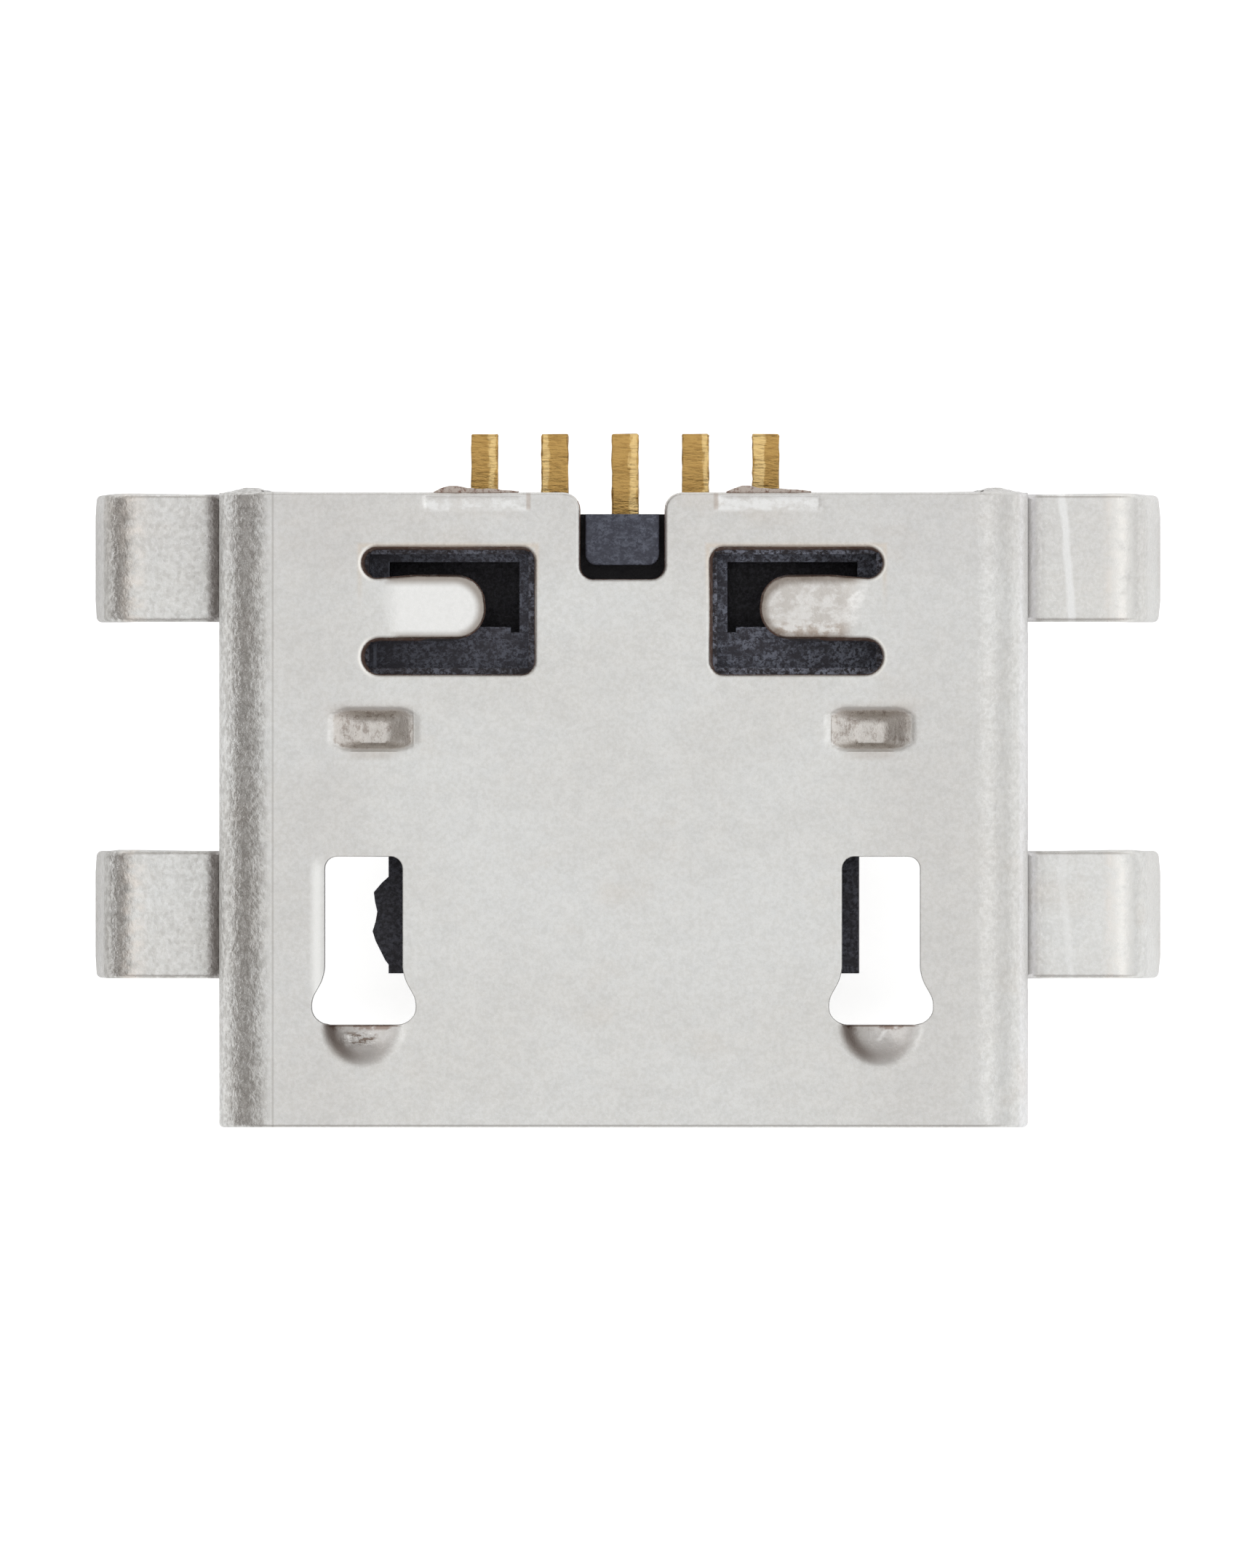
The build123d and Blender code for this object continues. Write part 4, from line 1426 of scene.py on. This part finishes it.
class USBSOCKET_OT_housing(Operator):
    """Mould the housing: rear block with ledges, pockets and key, and the tongue"""

    bl_idname = "usbsocket.housing"
    bl_label = "Housing"

    def execute(self, context):
        s = bench(context.scene.usb_housing)
        shell = bench(context.scene.usb_shell)
        pins = bench(context.scene.usb_contacts)
        roof = shell.opening_height / 2 - s.fit
        rear = shell.depth - s.inset
        block = mouth_outline(
            "housing_moulded",
            (shell.opening_width - 2 * s.fit, shell.opening_height - 2 * s.fit),
            shell.bevel - s.fit * (2 - math.sqrt(2)),
            shell.shoulder_bend - s.fit,
            shell.bevel_bend - s.fit,
            8,
            4,
        )
        select_all()
        move(y=s.block_front)
        push_out(y=rear - s.block_front)
        tidy_normals(block)
        pick_edges(block, lambda c: c.y < s.block_front + NEAR)
        roll_edges(s.block_edge, 1)
        tongue_top = shell.opening_height / 2 - s.tongue_gap
        shoulder = s.tongue_setback + s.tongue_tip_length
        half = s.tongue_width / 2
        tip = s.tongue_tip_width / 2
        tongue = flat_blank(
            "tongue",
            (-half, s.tongue_setback),
            (half, s.block_front + s.block_edge),
            (-tip, tip),
            (shoulder,),
            lambda c: abs(c.x) < tip or c.y > shoulder,
        )
        ends = [(-tip, s.tongue_setback), (tip, s.tongue_setback)]
        round_corner(tongue, ends, s.tongue_tip_corner)
        prism(tongue, tongue_top - s.tongue_thickness, tongue_top)
        pick_edges(tongue, lambda c: c.y < s.tongue_setback + NEAR)
        roll_edges(s.tongue_chamfer, 2)
        weld(block, [tongue, torn_side(s)])

        cut_front = shell.cut_front + s.ledge_margin
        cut_rear = shell.cut_front + shell.front_arm + shell.finger_width + shell.rear_arm
        recess = flat_blank(
            "recess",
            (shell.cut_inner + s.ledge_margin, cut_front),
            (shell.cut_inner + shell.cut_width - s.ledge_margin, cut_rear - s.ledge_margin),
        )
        recess = prism(recess, roof - s.ledge_depth, roof + 0.2)
        pocket = flat_blank(
            "pocket",
            (s.pocket_inner, s.pocket_front),
            (s.pocket_inner + s.pocket_width, s.pocket_front + s.pocket_length),
        )
        pocket = prism(pocket, roof - s.pocket_depth, roof + 0.2)
        carve(block, with_twins([recess, pocket]))
        weld(block, with_twins([torn_flap(s, roof - s.ledge_depth)]))
        key_half = shell.notch_width / 2 - s.key_gap
        key_front = shell.depth - shell.notch_length + s.key_step
        key = flat_blank("key", (-key_half, key_front), (key_half, rear))
        corners = [(-key_half, key_front), (key_half, key_front)]
        round_corner(key, corners, s.key_corner)
        key_top = roof + s.fit + shell.sheet - s.key_drop
        prism(key, roof - 0.1, key_top)
        pick_edges(key, lambda c: abs(c.z - key_top) < NEAR)
        roll_edges(s.edge, 3)
        weld(block, [key])
        channels = [
            contact_strip(pins, shell, s, number, pins.fit, "channel") for number in range(5)
        ]
        level = roof + s.fit - s.tongue_gap - s.tongue_thickness - pins.proud
        tail = shell.board_sink - shell.opening_height / 2 - shell.sheet
        for middle in contact_middles(pins):
            half = pins.width / 2 + pins.fit
            slot = flat_blank("slot", (middle - half, pins.jog_place), (middle + half, rear + 0.1))
            channels.append(prism(slot, tail - pins.fit, level + pins.thickness + pins.fit))
        carve(block, channels)
        block.data.materials.append(black_nylon(context.scene.usb_finishes))
        finish_piece(block, "housing_moulded", "housing")
        return {"FINISHED"}


def roughen_tail(strip, start, reach, seed):
    """Small dents along a tail and its end, which is sheared off."""
    for number in range(12):
        pick(strip, lambda c: c.y > start - 0.3, "FACE", any)
        score((0, start - 0.1 + (reach + 0.07) * number / 11, 0), (0, 1, 0))
    pick(strip, lambda c: c.y > start - 0.15)
    bpy.ops.transform.vertex_random(offset=0.006, uniform=0.4, normal=0.0, seed=seed)
    pick(strip, lambda c: c.y > start + reach - 0.03)
    move(y=-0.018)
    put_down()


class USBSOCKET_OT_contacts(Operator):
    """Bend the five contacts and place them on their pitch"""

    bl_idname = "usbsocket.contacts"
    bl_label = "Contacts"

    def execute(self, context):
        s = bench(context.scene.usb_contacts)
        shell = bench(context.scene.usb_shell)
        body = bench(context.scene.usb_housing)
        plating = gold_plating(context.scene.usb_finishes)
        nodes = ["power", "data_minus", "data_plus", "sense", "ground"]
        for number, node in enumerate(nodes):
            strip = contact_strip(s, shell, body, number, 0, f"contact_{node}_bent")
            pick_edges(strip, lambda c: True)
            roll_edges(s.edge, 2)
            roughen_tail(strip, shell.depth, s.tail_reach, number)
            strip.data.materials.append(plating)
            finish_piece(strip, f"contact_{node}_bent", f"contact_{node}")
        return {"FINISHED"}


def floor_paper():
    """White paper that keeps the object's shadow and is clear from below."""
    material = bpy.data.materials.new("floor_paper")
    material.use_nodes = True
    tree = material.node_tree
    shader = tree.nodes["Principled BSDF"]
    shader.inputs["Base Color"].default_value = (0.9, 0.9, 0.9, 1.0)
    shader.inputs["Roughness"].default_value = 1.0
    shader.inputs["Specular IOR Level"].default_value = 0.0
    seen = flow(tree, "LightPath", None, "Is Camera Ray") * 0.72
    for ray in ("Is Glossy Ray", "Is Transmission Ray"):
        seen = seen + flow(tree, "LightPath", None, ray) * 0.25
    shader.inputs["Emission Color"].default_value = (1.0, 1.0, 1.0, 1.0)
    tree.links.new(seen.socket, shader.inputs["Emission Strength"])
    from_below = {
        0: flow(tree, "NewGeometry", None, "Backfacing"),
        1: Flow(tree, shader.outputs[0]),
        2: flow(tree, "BsdfTransparent"),
    }
    surface = flow(tree, "MixShader", from_below)
    tree.links.new(surface.socket, tree.nodes["Material Output"].inputs["Surface"])
    return material


def wall_tones(tree, towards, stops):
    """Tones by direction along one axis, from -1 to 1."""
    ramp = node(tree, "ValToRGB", {0: towards.times_plus(0.5, 0.5)})
    elements = ramp.color_ramp.elements
    for number, (where, colour) in enumerate(stops):
        element = elements[number] if number < 2 else elements.new((where + 1) / 2)
        element.position = (where + 1) / 2
        element.color = (*colour, 1.0)
    return Flow(tree, ramp.outputs[0])


def studio_world(stage):
    """White light from all round; the metal alone sees darker and brighter walls in it."""
    world = bpy.data.worlds.new("studio")
    world.use_nodes = True
    tree = world.node_tree
    direction = {0: flow(tree, "TexCoord", None, "Generated")}
    white = (1.0, 1.0, 1.0)
    panel = (stage.right_panel,) * 3
    low, high = stage.left_low, stage.left_high
    across = wall_tones(
        tree,
        flow(tree, "SeparateXYZ", direction, 0),
        [
            (-0.78, low),
            (-0.66, high),
            (-0.42, high),
            (-0.22, white),
            (0.2, white),
            (0.38, panel),
            (0.64, panel),
            (0.8, stage.right_wall),
        ],
    )
    along = wall_tones(
        tree,
        flow(tree, "SeparateXYZ", direction, 1),
        [(-0.72, stage.front_wall), (-0.35, white), (0.5, white), (0.85, stage.rear_wall)],
    )
    walls = blend(tree, 1.0, across, along, "MULTIPLY")
    seen = blend(tree, flow(tree, "LightPath", None, "Is Glossy Ray"), white, walls)
    light = tree.nodes["Background"]
    tree.links.new(seen.socket, light.inputs["Color"])
    light.inputs["Strength"].default_value = stage.daylight
    return world


class USBSOCKET_OT_stage(Operator):
    """Set up the floor, the light and the camera over the wide face"""

    bl_idname = "usbsocket.stage"
    bl_label = "Stage"

    def execute(self, context):
        s = bench(context.scene.usb_stage)
        scene = context.scene
        put_down()
        bpy.ops.mesh.primitive_plane_add(size=FLOOR, location=(0, 0, 0))
        floor = context.object
        floor.name = "floor"
        bpy.ops.object.mode_set(mode="EDIT")
        move(z=CAD_BOX[0][2])
        put_down()
        floor.data.materials.append(floor_paper())
        scene.world = studio_world(scene.usb_stage)

        lens = bpy.data.cameras.new("camera")
        camera = bpy.data.objects.new("camera", lens)
        scene.collection.objects.link(camera)
        lens.sensor_width = SENSOR
        lens.lens = SENSOR * s.camera_away / s.view_height
        lens.clip_start = 0.01
        away = s.camera_away * MM
        camera.location = (
            s.view_x * MM + away * math.sin(s.camera_tilt),
            s.view_y * MM,
            away * math.cos(s.camera_tilt),
        )
        camera.rotation_euler = (0, s.camera_tilt, 0)
        scene.camera = camera
        scene.view_settings.view_transform = "Standard"
        return {"FINISHED"}


class USBSOCKET_PT_panel(Panel):
    """Lists the steps in the sidebar"""

    bl_idname = "USBSOCKET_PT_panel"
    bl_label = "Micro USB socket"
    bl_space_type = "VIEW_3D"
    bl_region_type = "UI"
    bl_category = "Micro USB"

    def draw(self, context):
        for step in STEPS:
            self.layout.operator(step.bl_idname)


STEPS = [USBSOCKET_OT_shell, USBSOCKET_OT_housing, USBSOCKET_OT_contacts, USBSOCKET_OT_stage]
GROUPS = {
    "usb_shell": ShellSizes,
    "usb_housing": HousingSizes,
    "usb_contacts": ContactSizes,
    "usb_finishes": FinishTones,
    "usb_stage": StageSizes,
}


def register():
    for cls in [*GROUPS.values(), *STEPS, USBSOCKET_PT_panel]:
        bpy.utils.register_class(cls)
    for name, group in GROUPS.items():
        setattr(bpy.types.Scene, name, PointerProperty(type=group))


def unregister():
    for name in GROUPS:
        delattr(bpy.types.Scene, name)
    for cls in reversed([*GROUPS.values(), *STEPS, USBSOCKET_PT_panel]):
        bpy.utils.unregister_class(cls)


def main():
    register()
    bpy.ops.usbsocket.shell()
    bpy.ops.usbsocket.housing()
    bpy.ops.usbsocket.contacts()
    bpy.ops.usbsocket.stage()


if __name__ == "__main__":
    main()
